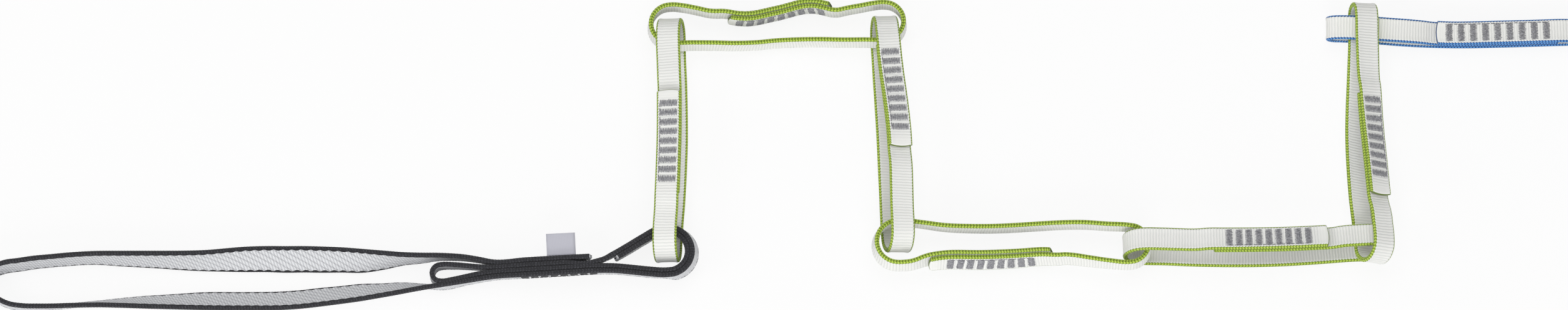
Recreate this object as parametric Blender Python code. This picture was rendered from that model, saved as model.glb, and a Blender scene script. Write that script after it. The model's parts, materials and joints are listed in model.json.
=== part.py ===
"""Climbing daisy chain, laid out on a table: a sewn tether, six sewn links and an end link.

Metres, +Z up. The chain lies along +X. The tether and every second link stand on the edge of
their webbing, and the links between them lie flat with their upper strand leaning to one side,
so that each loop passes between the two strands of its neighbour.

Every loop is one strip of webbing that overlaps itself and is sewn there. A link is described in
its own frame: u runs along the link, v from its lower strand to its upper one, and w across the
webbing. A flat link has v nearly upright, and a standing link has v level.
"""

import math

import bmesh
import bpy
from mathutils import Vector

# Link webbing
LINK_WIDTH = 0.0110
LINK_THICKNESS = 0.0022
END_LINK_WIDTH = 0.0110
END_LINK_THICKNESS = 0.0022

# Tether webbing, wider than the links'
TETHER_WIDTH = 0.0130
TETHER_THICKNESS = 0.0021

# Distance between the places where a link hangs in its neighbours, and what each link adds to it
LINK_REACH = 0.1030
REACH_CHANGES = {
    "link_1": 0.0042,
    "link_2": -0.0068,
    "link_3": 0.0009,
    "link_4": 0.0005,
    "link_5": 0.0069,
    "link_6": -0.0020,
}
END_LINK_LENGTH = 0.1600

# Directions in which the links lie, in degrees from +X
LINK_HEADINGS = {
    "link_1": 89.2,
    "link_2": 0.8,
    "link_3": -86.5,
    "link_4": -0.6,
    "link_5": 1.2,
    "link_6": 91.9,
    "end_link": 0.0,
}

# How far a flat link leans: at its first crossing, halfway and at its last crossing, in degrees
LEANS = {
    "link_1": (8.0, 10.0, 9.0),
    "link_3": (8.0, 16.0, 15.0),
    "link_5": (8.0, 13.5, 14.5),
    "link_6": (32.0, 31.0, 16.0),
    "end_link": (-8.0, -4.0, 0.0),
}

# Gaps
CLEARANCE = 0.0003
LAYER_GAP = 0.0002
THREAD_GAP = 0.00012

# Swing that two flat links leave each other, in degrees each way
FLAT_SWING_5_6 = 27.0
FLAT_SWING_6_7 = 25.0
END_LINK_SLACK = 0.0045

# The end link's strands lie on each other beyond its crossing and part again at its far end
END_LINK_FLAT_RISE = 0.0048
END_LINK_TIP_RISE = 0.0090
END_LINK_FALL_SHARES = (0.14, 0.36)
END_LINK_LIFT_SHARES = (0.72, 1.0)
END_LINK_LEAN_SHARE = 0.50

# Play round a link's end inside a standing loop
EYE_PLAY = 0.0005

# How far the middle of a raised link hangs below its ends
LINK_SAG = 0.0030

# Lap where a link's strip is sewn to itself
LAP_LENGTHS = {
    "link_1": 0.0490,
    "link_2": 0.0470,
    "link_3": 0.0502,
    "link_4": 0.0560,
    "link_5": 0.0525,
    "link_6": 0.0505,
    "end_link": 0.0560,
}
LAP_RAMP = 0.0080

# Links whose strip runs the other way round, so that its outer end lies nearer the first crossing
TURNED_LINKS = ("link_6", "end_link")

# Stitching of the lap: bars of zigzag joined by one run along an edge
BAR_COUNT = 9
BAR_PACK_LENGTH = 0.0380
BAR_PACK_SHIFTS = {"link_3": -0.0020, "link_5": -0.0010, "link_6": 0.0030}
BAR_LENGTH = 0.0024
BAR_WIDTH = 0.0082
RUN_WIDTH = 0.0009
THREAD_THICKNESS = 0.0004
END_BAR_PACK_LENGTH = 0.0460

# Tether
TETHER_LEAN = 12.0
STACK_LENGTH = 0.0470
STACK_SLOPE = 2.9
STACK_DROP = 0.0058
EYE_LEG_SLOPE = 26.5
EYE_PEEL_SLOPE = 20.0
EYE_LEG_START = 0.0310
INNER_END_START = 0.0245
UPPER_TAIL_START = 0.0335
SMALL_EYE_LENGTH = 0.0275
SMALL_EYE_RADIUS = 0.0038
BIG_LOOP_LENGTH = 0.2270
BIG_LOOP_WIDTH = 0.0265
BIG_LOOP_DROP = 0.0036

# The stack's layers, counted from its middle: the girth loop's, the small eye's two and the tail's
LOOP_LAYER = -1.5
LOWER_EYE_LAYER = -0.5
UPPER_EYE_LAYER = 0.5
TAIL_LAYER = 1.5

# Stitching of the tether, in bars on both faces of the stack
TETHER_BAR_COUNT = 8
TETHER_BAR_PACK_LENGTH = 0.0330
TETHER_BAR_WIDTH = 0.0096
UPPER_TETHER_BAR_COUNT = 4
UPPER_TETHER_BAR_PACK_LENGTH = 0.0150
TETHER_PACK_END = 0.0320
UPPER_TETHER_PACK_END = 0.0580

# Label, a bare folded tab sewn into the upper side of the stack
LABEL_WIDTH = 0.0130
LABEL_LENGTH = 0.0104
LABEL_THICKNESS = 0.0006
LABEL_CENTRE = 0.0472
LABEL_DROOP = 0.0016
LABEL_HEIGHT_SHARE = 0.72

# Shares of a band's half width and half thickness at which its section turns
EDGE_ROUND_SHARE = 0.30
EDGE_FLAT_SHARE = 0.50

# Steps along the loops
BIGHT_STEPS = 9
STRAND_STEPS = 10
LAP_STEPS = 12
RAMP_STEPS = 3
TAIL_STEPS = 3
LABEL_STEPS = 4
EYE_STEPS = 10
SMALL_EYE_STEPS = 8
LEG_STEPS = 4
STACK_STEPS = 3
BIG_LOOP_STEPS = 2

# Where a strand's waves are given, as shares of its length, and their heights in thicknesses
WAVE_KNOT_SHARES = (0.0, 0.2, 0.35, 0.5, 0.65, 0.8, 1.0)
UPPER_WAVE_SHARES = {
    "link_2": (0.0, -1.50, -2.40, -1.10, 0.20, -1.10, 0.0),
    "link_4": (0.0, -0.85, -0.70, -0.15, 0.35, 0.50, 0.0),
}
LOWER_WAVE_SHARES = {
    "link_2": (0.0, 0.10, 0.10, -0.50, -0.50, -0.10, 0.0),
    "link_4": (0.0, -1.65, -1.90, -2.25, -2.40, -1.15, 0.0),
}
BOW_SHARES = {
    "link_1": (0.0, -0.40, -0.60, -0.70, -0.60, -0.40, 0.0),
    "link_3": (0.0, 0.10, 0.30, 0.42, 0.35, 0.20, 0.0),
    "link_5": (0.0, -0.45, -0.70, -0.80, -0.70, -0.40, 0.0),
    "link_6": (0.0, -0.60, -0.85, -0.95, -0.75, -0.40, 0.0),
    "end_link": (0.0, -0.75, -1.00, -0.80, -0.50, -0.20, 0.0),
}
NO_WAVE_SHARES = (0.0,) * len(WAVE_KNOT_SHARES)

# The big loop's two strands: shares of its length from the stack and of its width from its axis,
# and how far the webbing's top edge leans outward there, in degrees
BIG_LOOP_LOWER_SHARES = (
    (0.10, -0.240, 0.0),
    (0.18, -0.350, 30.0),
    (0.26, -0.450, 46.0),
    (0.34, -0.530, 50.0),
    (0.41, -0.580, 50.0),
    (0.57, -0.565, 48.0),
    (0.70, -0.530, 33.0),
    (0.78, -0.500, 20.0),
    (0.84, -0.500, 14.0),
    (0.90, -0.500, 10.0),
    (0.96, -0.440, 8.0),
)
BIG_LOOP_TIP_SHARES = ((0.995, -0.200, 6.0), (0.995, 0.180, 6.0))
BIG_LOOP_UPPER_SHARES = (
    (0.94, 0.320, 6.0),
    (0.88, 0.375, 5.0),
    (0.80, 0.420, 6.0),
    (0.65, 0.418, 18.0),
    (0.57, 0.435, 28.0),
    (0.49, 0.510, 44.0),
    (0.41, 0.520, 50.0),
    (0.34, 0.500, 48.0),
    (0.26, 0.430, 38.0),
    (0.18, 0.318, 8.0),
    (0.11, 0.279, 0.0),
    (0.06, 0.238, 0.0),
)

# How far a standing loop's lower edge stands outward, as a share of its width: at its two bends,
# and what its lower strand adds at the knots
FLARE_SHARES = {"link_2": (0.06, 0.04), "link_4": (0.14, 0.04)}
LOWER_FLARE_SHARES = {"link_4": (0.0, 0.18, 0.24, 0.24, 0.17, 0.10, 0.0)}
EYE_FLARE = -9.0
EYE_FLARE_TURN = 20.0

# Where a loop's bends have their middles, as turns round the loop, and how far a flare reaches
LAST_BEND_TURN = 1.5
FIRST_BEND_TURN = 3.5
FLARE_TURNS = 1.1

# Where a link's lap is centred, as a share of its strand, and the links that are sewn on their
# lower strand
LAP_CENTRE_SHARES = {
    "link_1": 0.460,
    "link_2": 0.512,
    "link_3": 0.330,
    "link_4": 0.400,
    "link_5": 0.553,
    "link_6": 0.425,
    "end_link": 0.483,
}
LOWER_SEWN_LINKS = ("link_4",)

MATERIALS = {
    "link": ((0.80, 0.82, 0.78), 0.85),
    "end_link": ((0.78, 0.80, 0.84), 0.85),
    "tether": ((0.06, 0.06, 0.065), 0.90),
    "thread": ((0.36, 0.36, 0.38), 0.70),
    "tether_thread": ((0.03, 0.03, 0.035), 0.80),
    "label": ((0.66, 0.66, 0.72), 0.90),
}


def direction(degrees):
    """Level unit vector at this angle from +X."""
    angle = math.radians(degrees)
    return Vector((math.cos(angle), math.sin(angle), 0.0))


def smooth(share):
    """Share from 0 to 1 with level ends."""
    share = min(max(share, 0.0), 1.0)
    return share * share * (3 - 2 * share)


def blend(start, middle, end, share):
    """Value that runs from start to end and passes near middle halfway."""
    base = start + (end - start) * smooth(share)
    return base + (middle - (start + end) / 2) * math.sin(math.pi * share) ** 2


def knot_value(knots, values, share):
    """Smooth curve through the values at the knots."""
    share = min(max(share, knots[0]), knots[-1])
    for index in range(len(knots) - 1):
        if share <= knots[index + 1]:
            break
    left, right = knots[index], knots[index + 1]
    t = (share - left) / (right - left)

    def slope(at):
        if at in (0, len(knots) - 1):
            return 0.0
        return (values[at + 1] - values[at - 1]) / (knots[at + 1] - knots[at - 1])

    span = right - left
    return (
        values[index] * (2 * t**3 - 3 * t**2 + 1)
        + slope(index) * span * (t**3 - 2 * t**2 + t)
        + values[index + 1] * (3 * t**2 - 2 * t**3)
        + slope(index + 1) * span * (t**3 - t**2)
    )


def leaning_height(width, thickness, lean):
    """Height of a strand's section when it leans by this many degrees from lying flat."""
    angle = math.radians(abs(lean))
    return width * math.sin(angle) + thickness * math.cos(angle)


def sines(lean):
    angle = math.radians(lean)
    return math.sin(angle), math.cos(angle), math.tan(angle)


class FlatLink:
    """A link that lies flat: its upper strand is above its lower one and leans to the side."""

    def __init__(self, name, width, thickness, rises, bases, side=1):
        self.name, self.width, self.thickness = name, width, thickness
        self.leans, self.rises, self.bases, self.side = LEANS[name], rises, bases, side
        self.upper = self.lower = NO_WAVE_SHARES
        self.bow = BOW_SHARES.get(name, NO_WAVE_SHARES)
        self.sag = LINK_SAG if min(bases) > 0 else 0.0

    def rise_at(self, share):
        return self.rises[0] + (self.rises[1] - self.rises[0]) * smooth(share)

    def lean_at(self, share):
        return blend(*self.leans, share)

    def across(self, share):
        """Strand separation, lean in radians and height of the link's middle at a share of its
        length."""
        lean = self.lean_at(share)
        rise = self.rise_at(share)
        base = self.bases[0] + (self.bases[1] - self.bases[0]) * smooth(share)
        base -= self.sag * math.sin(math.pi * share) ** 4
        height = base + (rise + leaning_height(self.width, self.thickness, lean)) / 2
        return rise / math.cos(math.radians(lean)), math.radians(lean), height

    def flare(self, turn):
        return 0.0

    def end_radius(self, end):
        return self.across(end)[0] / 2


class EndLink(FlatLink):
    """The last link: its strands lie on each other between its crossing and its far end."""

    def rise_at(self, share):
        fall_start, fall_end = END_LINK_FALL_SHARES
        lift_start, lift_end = END_LINK_LIFT_SHARES
        fall = smooth((share - fall_start) / (fall_end - fall_start))
        lift = smooth((share - lift_start) / (lift_end - lift_start))
        low = END_LINK_FLAT_RISE
        return self.rises[0] + (low - self.rises[0]) * fall + (self.rises[1] - low) * lift

    def lean_at(self, share):
        return self.leans[0] * (1 - smooth(share / END_LINK_LEAN_SHARE))


class StandingLink:
    """A link that stands on its webbing's edge: its strands lie side by side."""

    def __init__(self, name, width, thickness, radii, base):
        self.name, self.width, self.thickness = name, width, thickness
        self.radii, self.base, self.side = radii, base, 1
        self.upper = UPPER_WAVE_SHARES[name]
        self.lower = LOWER_WAVE_SHARES[name]
        self.bow = NO_WAVE_SHARES
        self.flares = FLARE_SHARES[name]
        self.lower_flare = LOWER_FLARE_SHARES.get(name, NO_WAVE_SHARES)

    def across(self, share):
        separation = 2 * (self.radii[0] + (self.radii[1] - self.radii[0]) * smooth(share))
        height = self.base + self.width / 2 - LINK_SAG * math.sin(math.pi * share) ** 4
        return separation, math.pi / 2, height

    def flare(self, turn):
        """How far the lower edge stands outward at a place on the loop."""
        turn %= 4
        to_first_bend = min(abs(turn - FIRST_BEND_TURN), turn + 4 - FIRST_BEND_TURN)
        near_start = smooth(1 - to_first_bend / FLARE_TURNS)
        near_end = smooth(1 - abs(turn - LAST_BEND_TURN) / FLARE_TURNS)
        strand = knot_value(WAVE_KNOT_SHARES, self.lower_flare, 3 - turn)
        return self.flares[0] * near_start + self.flares[1] * near_end + strand

    def end_radius(self, end):
        return self.radii[end]


def place_link(link, origin, heading, first_centre, last_centre):
    """Puts the link in the layout: its two bends' centres lie along u from the origin."""
    link.origin = origin
    link.along = direction(heading)
    link.left = direction(heading + 90) * link.side
    link.centres = (first_centre, last_centre)
    link.way = -1 if link.name in TURNED_LINKS else 1


def loop_point(link, turn, outward):
    """Point of the loop's middle line, pushed outward, and the way across the webbing there.

    turn runs once round in 4: the upper strand, the last bend, the lower strand, the first bend.
    """
    turn %= 4
    first, last = link.centres
    if turn <= 1 or 2 <= turn <= 3:
        share = turn if turn <= 1 else 3 - turn
        waves = link.upper if turn <= 1 else link.lower
        wave = knot_value(WAVE_KNOT_SHARES, waves, share) * link.thickness
        separation, lean, height = link.across(share)
        u = first + (last - first) * share
        v = (separation / 2 + wave + outward) * (1 if turn <= 1 else -1)
        out_u, out_v = 0.0, 1.0 if turn <= 1 else -1.0
    else:
        share = 1.0 if turn < 2 else 0.0
        angle = math.pi * (turn - 1) if turn < 2 else math.pi * (turn - 2)
        separation, lean, height = link.across(share)
        out_u, out_v = math.sin(angle), math.cos(angle)
        u = (last if turn < 2 else first) + (separation / 2 + outward) * out_u
        v = (separation / 2 + outward) * out_v
    bow = knot_value(WAVE_KNOT_SHARES, link.bow, share) * link.thickness
    up = Vector((0, 0, math.cos(lean))) + link.left * math.sin(lean)
    across = link.left * math.cos(lean) - Vector((0, 0, math.sin(lean)))
    flare = link.flare(turn)
    out = link.along * out_u + up * out_v
    point = link.origin + link.along * u + up * v + link.left * bow + Vector((0, 0, height))
    point += out * (flare * link.width / 2)
    return point, (across + out * flare).normalized()


def between(first, last, steps):
    return [first + (last - first) * step / steps for step in range(steps)]


def lap_turns(link, centre_share, lower_strand):
    """Where the lap starts and ends, as turns, with the turns that its ramps take up."""
    straight = link.centres[1] - link.centres[0]
    half, ramp = LAP_LENGTHS[link.name] / 2 / straight, LAP_RAMP / straight
    centre = 2 + (1 - centre_share) if lower_strand else centre_share
    return centre - half, centre + half, ramp


def strip_stations(link, centre_share, lower_strand=False):
    """(turn, outward) pairs along the strip, from its inner end round to its outer end."""
    if link.way > 0:
        return onward_stations(link, centre_share, lower_strand)
    both_ends = 5.0 if lower_strand else 1.0
    mirrored = onward_stations(link, 1 - centre_share, lower_strand)
    return [(both_ends - turn, outward) for turn, outward in mirrored]


def onward_stations(link, centre_share, lower_strand):
    """The pairs of a strip whose inner end lies nearer the first crossing."""
    start, end, ramp = lap_turns(link, centre_share, lower_strand)
    half = (link.thickness + LAYER_GAP) / 2
    strand = 2.0 if lower_strand else 0.0
    turns = between(start, end, LAP_STEPS) + between(end, end + ramp, RAMP_STEPS)
    turns += between(end + ramp, strand + 1, TAIL_STEPS)
    turns += between(strand + 1, strand + 2, BIGHT_STEPS)
    turns += between(strand + 2, strand + 3, STRAND_STEPS)
    turns += between(strand + 3, strand + 4, BIGHT_STEPS)
    turns += between(strand + 4, start + 4 - ramp, TAIL_STEPS)
    turns += between(start + 4 - ramp, start + 4, RAMP_STEPS)
    turns += between(start + 4, end + 4, LAP_STEPS) + [end + 4]
    turns = sorted(turns)

    def outward(turn):
        inner = -half * (1 - smooth((turn - end) / ramp))
        outer = half * smooth((turn - (start + 4 - ramp)) / ramp)
        return inner + outer

    return [(turn, outward(turn)) for turn in turns]


def band_frames(places, side=1):
    """(point, across, out) for each (point, across) along a strip."""
    frames = []
    for index, (point, across) in enumerate(places):
        before = places[max(index - 1, 0)][0]
        after = places[min(index + 1, len(places) - 1)][0]
        tangent = (after - before).normalized()
        frames.append((point, across, tangent.cross(across).normalized() * side))
    return frames


def section(width, thickness):
    """Outline of the webbing's section, as (across, out) pairs."""
    half, deep = width / 2, thickness / 2
    shoulder = half - thickness * EDGE_ROUND_SHARE
    flat = deep * EDGE_FLAT_SHARE
    return (
        (shoulder, deep),
        (half, flat),
        (half, -flat),
        (shoulder, -deep),
        (-shoulder, -deep),
        (-half, -flat),
        (-half, flat),
        (-shoulder, deep),
    )


def add_object(name, mesh_builder, origin, look):
    """Makes an object whose origin is at the given point, from a bmesh in world coordinates."""
    bmesh.ops.recalc_face_normals(mesh_builder, faces=mesh_builder.faces)
    for vertex in mesh_builder.verts:
        vertex.co -= origin
    mesh = bpy.data.meshes.new(name)
    mesh_builder.to_mesh(mesh)
    mesh_builder.free()
    mesh.shade_smooth()
    mesh.set_sharp_from_angle(angle=math.radians(35))
    obj = bpy.data.objects.new(name, mesh)
    obj.location = origin
    bpy.context.scene.collection.objects.link(obj)
    mesh.materials.append(material(look))
    return obj


def material(look):
    if look in bpy.data.materials:
        return bpy.data.materials[look]
    colour, roughness = MATERIALS[look]
    made = bpy.data.materials.new(look)
    made.use_nodes = True
    shader = made.node_tree.nodes["Principled BSDF"]
    shader.inputs["Base Color"].default_value = (*colour, 1.0)
    shader.inputs["Roughness"].default_value = roughness
    shader.inputs["Metallic"].default_value = 0.0
    return made


def band(name, frames, width, thickness, origin, look):
    """A strip of webbing swept along its frames and closed at both ends."""
    outline = section(width, thickness)
    builder = bmesh.new()
    rings = []
    for point, across, out in frames:
        rings.append([builder.verts.new(point + across * a + out * b) for a, b in outline])
    for ring, following in zip(rings, rings[1:]):
        for index in range(len(outline)):
            after = (index + 1) % len(outline)
            builder.faces.new((ring[index], ring[after], following[after], following[index]))
    builder.faces.new(rings[0])
    builder.faces.new(list(reversed(rings[-1])))
    return add_object(name, builder, origin, look)


def comb(name, surface, starts, length, widths, thickness, origin, look):
    """Stitching: bars across the webbing, joined by a run along one edge.

    surface gives a point and the way out at (along, across); starts are where the bars begin.
    """
    low, run, high = widths
    edges = sorted(starts + [start + length for start in starts])
    builder = bmesh.new()
    grid = []
    for along in edges:
        row = []
        for across in (low, run, high):
            point, out = surface(along, across)
            row.append((builder.verts.new(point), builder.verts.new(point + out * thickness)))
        grid.append(row)
    cells = set()
    for index in range(len(edges) - 1):
        cells.add((index, 0))
        if index % 2 == 0:
            cells.add((index, 1))
    for index, column in cells:
        a, b = grid[index][column], grid[index][column + 1]
        c, d = grid[index + 1][column + 1], grid[index + 1][column]
        for layer in (0, 1):
            builder.faces.new((a[layer], b[layer], c[layer], d[layer]))
        sides = (
            ((index, column - 1), d, a),
            ((index, column + 1), b, c),
            ((index - 1, column), a, b),
            ((index + 1, column), c, d),
        )
        for neighbour, start, end in sides:
            if neighbour not in cells:
                builder.faces.new((start[0], end[0], end[1], start[1]))
    return add_object(name, builder, origin, look)


def lap_surface(link, centre_share, lower_strand, outer):
    """Surface function for the stitching on the outer or the inner face of a link's lap."""
    start, end, _ = lap_turns(link, centre_share, lower_strand)
    lift = link.thickness + LAYER_GAP / 2 + THREAD_GAP
    straight = link.centres[1] - link.centres[0]

    def at(along, across):
        turn = (start + end) / 2 + along / straight
        sign = 1 if outer else -1
        point, way = loop_point(link, turn, sign * lift)
        here, _ = loop_point(link, turn, 0.0)
        return point + way * across, (point - here).normalized()

    return at


def stitch_link(link, centre_share, lower_strand, pack_length, origin):
    """Needle thread on the outer face of the lap and bobbin thread on the inner one."""
    pitch = (pack_length - BAR_LENGTH) / (BAR_COUNT - 1)
    first = BAR_PACK_SHIFTS.get(link.name, 0.0) - pack_length / 2
    starts = [first + pitch * index for index in range(BAR_COUNT)]
    widths = (-BAR_WIDTH / 2, -BAR_WIDTH / 2 + RUN_WIDTH, BAR_WIDTH / 2)
    made = []
    for outer, thread in ((True, "needle_thread"), (False, "bobbin_thread")):
        surface = lap_surface(link, centre_share, lower_strand, outer)
        made.append(
            comb(
                f"{link.name}_{thread}",
                surface,
                starts,
                BAR_LENGTH,
                widths,
                THREAD_THICKNESS,
                origin,
                "thread",
            )
        )
    return made


def build_link(link, origin, centre_share, lower_strand=False, pack_length=BAR_PACK_LENGTH):
    """The link's webbing and its two threads, with their origin on the link's joint."""
    places = [
        loop_point(link, turn, outward)
        for turn, outward in strip_stations(link, centre_share, lower_strand)
    ]
    frames = band_frames(places, link.side * link.way)
    look = "end_link" if link.name == "end_link" else "link"
    webbing = band(f"{link.name}_webbing", frames, link.width, link.thickness, origin, look)
    return [webbing] + stitch_link(link, centre_share, lower_strand, pack_length, origin)


def bar_in_eye(link, end, height):
    """How the end of a flat link sits in a standing loop of the given height.

    Returns the distance from the bend's centre to the middle of the end's bar, and the radius
    that the bar needs round that point.
    """
    separation, lean, _ = link.across(end)
    sine, cosine = math.sin(lean), math.cos(lean)
    inner = (separation - link.thickness) / 2
    outer = (separation + link.thickness) / 2
    half_height, half_width = height / 2, link.width / 2
    reach = half_height * cosine + sine * (half_height * sine + half_width) / cosine
    near = math.sqrt(max(inner**2 - min(reach, inner) ** 2, 0.0))
    corner = math.sqrt(max(outer**2 - min(reach, outer) ** 2, 0.0))
    wide = half_width / cosine + half_height * math.tan(lean)
    seat = (near + outer) / 2
    turned = (
        math.hypot(wide, seat - near),
        math.hypot(wide, corner - seat),
        math.hypot(half_width * cosine, outer - seat),
    )
    return seat, max(turned)


def flat_end(own, other, own_end, other_end, swing, side):
    """Distance from a crossing of two flat links to the centre of this link's bend.

    The bend leaves the other link's strand free to turn by the swing, in degrees, each way. side
    is 1 where that strand leans toward the bend and -1 where it leans away.
    """
    _, cosine, tangent = sines(swing)
    separation, lean, _ = other.across(other_end)
    strand_edge = other.width / 2 * math.cos(lean) + other.thickness / 2 * math.sin(lean)
    offset = separation / 2 * math.sin(lean) * side
    own_separation, own_lean, _ = own.across(own_end)
    own_half = own.width / 2 * math.cos(own_lean) + own_separation / 2 * math.sin(own_lean)
    clear = (strand_edge + offset) / cosine + own_half * tangent + CLEARANCE
    return clear - (own_separation - own.thickness) / 2


def layer_heights():
    """Base heights and strand rises that let every crossing pass with the named clearance."""

    def height(name, end, width=LINK_WIDTH, thickness=LINK_THICKNESS):
        return leaning_height(width, thickness, LEANS[name][2 * end])

    heights = {}
    tether_sine, tether_cosine, _ = sines(TETHER_LEAN)
    heights["tether_base"] = height("link_1", 0) + CLEARANCE
    tether_top = heights["tether_base"] + TETHER_WIDTH * tether_cosine
    tether_top += TETHER_THICKNESS * tether_sine
    heights["tether_rise"] = tether_top + CLEARANCE
    heights["link_2_base"] = max(height("link_1", 1), height("link_3", 0)) + CLEARANCE
    heights["link_4_base"] = max(height("link_3", 1), height("link_5", 0)) + CLEARANCE
    heights["link_2_rise"] = heights["link_2_base"] + LINK_WIDTH + CLEARANCE
    heights["link_4_rise"] = heights["link_4_base"] + LINK_WIDTH + CLEARANCE
    end_height = height("end_link", 0, END_LINK_WIDTH, END_LINK_THICKNESS)
    base_5 = height("link_5", 1) + CLEARANCE
    base_7 = end_height + CLEARANCE
    heights["link_6_bases"] = (base_5, base_7)
    heights["rise_5_6"] = base_5 + height("link_6", 0) + CLEARANCE
    heights["rise_6_7"] = base_7 + height("link_6", 1) + CLEARANCE
    heights["link_6_rises"] = (
        heights["rise_5_6"] + height("link_5", 1) + CLEARANCE - base_5,
        heights["rise_6_7"] + end_height + CLEARANCE - base_7,
    )
    return heights


def lay_out():
    """Places every link and returns them with the pivots where neighbours cross."""
    heights = layer_heights()
    ground = (0.0, 0.0)

    def flat(name, rises, bases=ground):
        return FlatLink(name, LINK_WIDTH, LINK_THICKNESS, rises, bases)

    link_1 = flat("link_1", (heights["tether_rise"], heights["link_2_rise"]))
    link_3 = flat("link_3", (heights["link_2_rise"], heights["link_4_rise"]))
    link_5 = flat("link_5", (heights["link_4_rise"], heights["rise_5_6"]))
    link_6 = flat("link_6", heights["link_6_rises"], heights["link_6_bases"])
    link_6.side = -1
    rises = (heights["rise_6_7"], END_LINK_TIP_RISE)
    end_link = EndLink("end_link", END_LINK_WIDTH, END_LINK_THICKNESS, rises, ground)

    pivots = {"tether_link_1": Vector((0.0, 0.0, 0.0))}
    eye_height = TETHER_WIDTH * sines(TETHER_LEAN)[1]
    seat_1, eye_need = bar_in_eye(link_1, 0, eye_height)
    seat_1_far, need_1 = bar_in_eye(link_1, 1, LINK_WIDTH)
    seat_3, need_3 = bar_in_eye(link_3, 0, LINK_WIDTH)
    seat_3_far, need_3_far = bar_in_eye(link_3, 1, LINK_WIDTH)
    seat_5, need_5 = bar_in_eye(link_5, 0, LINK_WIDTH)
    play = EYE_PLAY + LINK_THICKNESS / 2

    def standing(name, needs):
        radii = [need + play for need in needs]
        return StandingLink(name, LINK_WIDTH, LINK_THICKNESS, radii, heights[f"{name}_base"])

    link_2 = standing("link_2", (need_1, need_3))
    link_4 = standing("link_4", (need_3_far, need_5))

    def reach(name):
        return LINK_REACH + REACH_CHANGES[name]

    def follow(name, start):
        return pivots[start] + direction(LINK_HEADINGS[name]) * reach(name)

    pivots["link_1_link_2"] = follow("link_1", "tether_link_1")
    pivots["link_2_link_3"] = follow("link_2", "link_1_link_2")
    pivots["link_3_link_4"] = follow("link_3", "link_2_link_3")
    pivots["link_4_link_5"] = follow("link_4", "link_3_link_4")
    pivots["link_5_link_6"] = follow("link_5", "link_4_link_5")
    pivots["link_6_end_link"] = follow("link_6", "link_5_link_6")

    def put(link, start, first_centre, last_centre):
        place_link(link, pivots[start], LINK_HEADINGS[link.name], first_centre, last_centre)

    put(link_1, "tether_link_1", seat_1, reach("link_1") - seat_1_far)
    put(link_2, "link_1_link_2", 0.0, reach("link_2"))
    put(link_3, "link_2_link_3", seat_3, reach("link_3") - seat_3_far)
    put(link_4, "link_3_link_4", 0.0, reach("link_4"))
    end_5 = flat_end(link_5, link_6, 1, 0, FLAT_SWING_5_6, -1)
    start_6 = flat_end(link_6, link_5, 0, 1, FLAT_SWING_5_6, -1)
    end_6 = flat_end(link_6, end_link, 1, 0, FLAT_SWING_6_7, 1)
    start_7 = flat_end(end_link, link_6, 0, 1, FLAT_SWING_6_7, 1) + END_LINK_SLACK
    put(link_5, "link_4_link_5", seat_5, reach("link_5") + end_5)
    put(link_6, "link_5_link_6", -start_6, reach("link_6") + end_6)
    tips = end_link.end_radius(0) + end_link.end_radius(1) + END_LINK_THICKNESS
    put(end_link, "link_6_end_link", -start_7, END_LINK_LENGTH - tips - start_7)
    links = (link_1, link_2, link_3, link_4, link_5, link_6, end_link)
    return links, pivots, heights, eye_need + EYE_PLAY


def curve(start, start_way, end, end_way, steps, pull=1.0):
    """Points on a smooth curve from start to end with the given directions, without the last."""
    span = (end - start).length * pull
    points = []
    for step in range(steps):
        t = step / steps
        points.append(
            start * (2 * t**3 - 3 * t**2 + 1)
            + start_way * (span * (t**3 - 2 * t**2 + t))
            + end * (3 * t**2 - 2 * t**3)
            + end_way * (span * (t**3 - t**2))
        )
    return points


def arc(centre, radius, first, last, steps):
    """Points on an arc, in degrees, without the last."""
    return [centre + direction(angle) * radius for angle in between(first, last, steps)]


def smooth_through(points, steps):
    """Points on a smooth curve through the given ones, without the last."""
    made = []
    for index in range(len(points) - 1):
        first, last = points[index], points[index + 1]
        before = points[index - 1] if index else first
        after = points[index + 2] if index + 2 < len(points) else last
        span = (last - first).length
        first_way = (last - before).normalized()
        last_way = (after - first).normalized()
        made += curve(first, first_way, last, last_way, steps)
    return made


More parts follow.
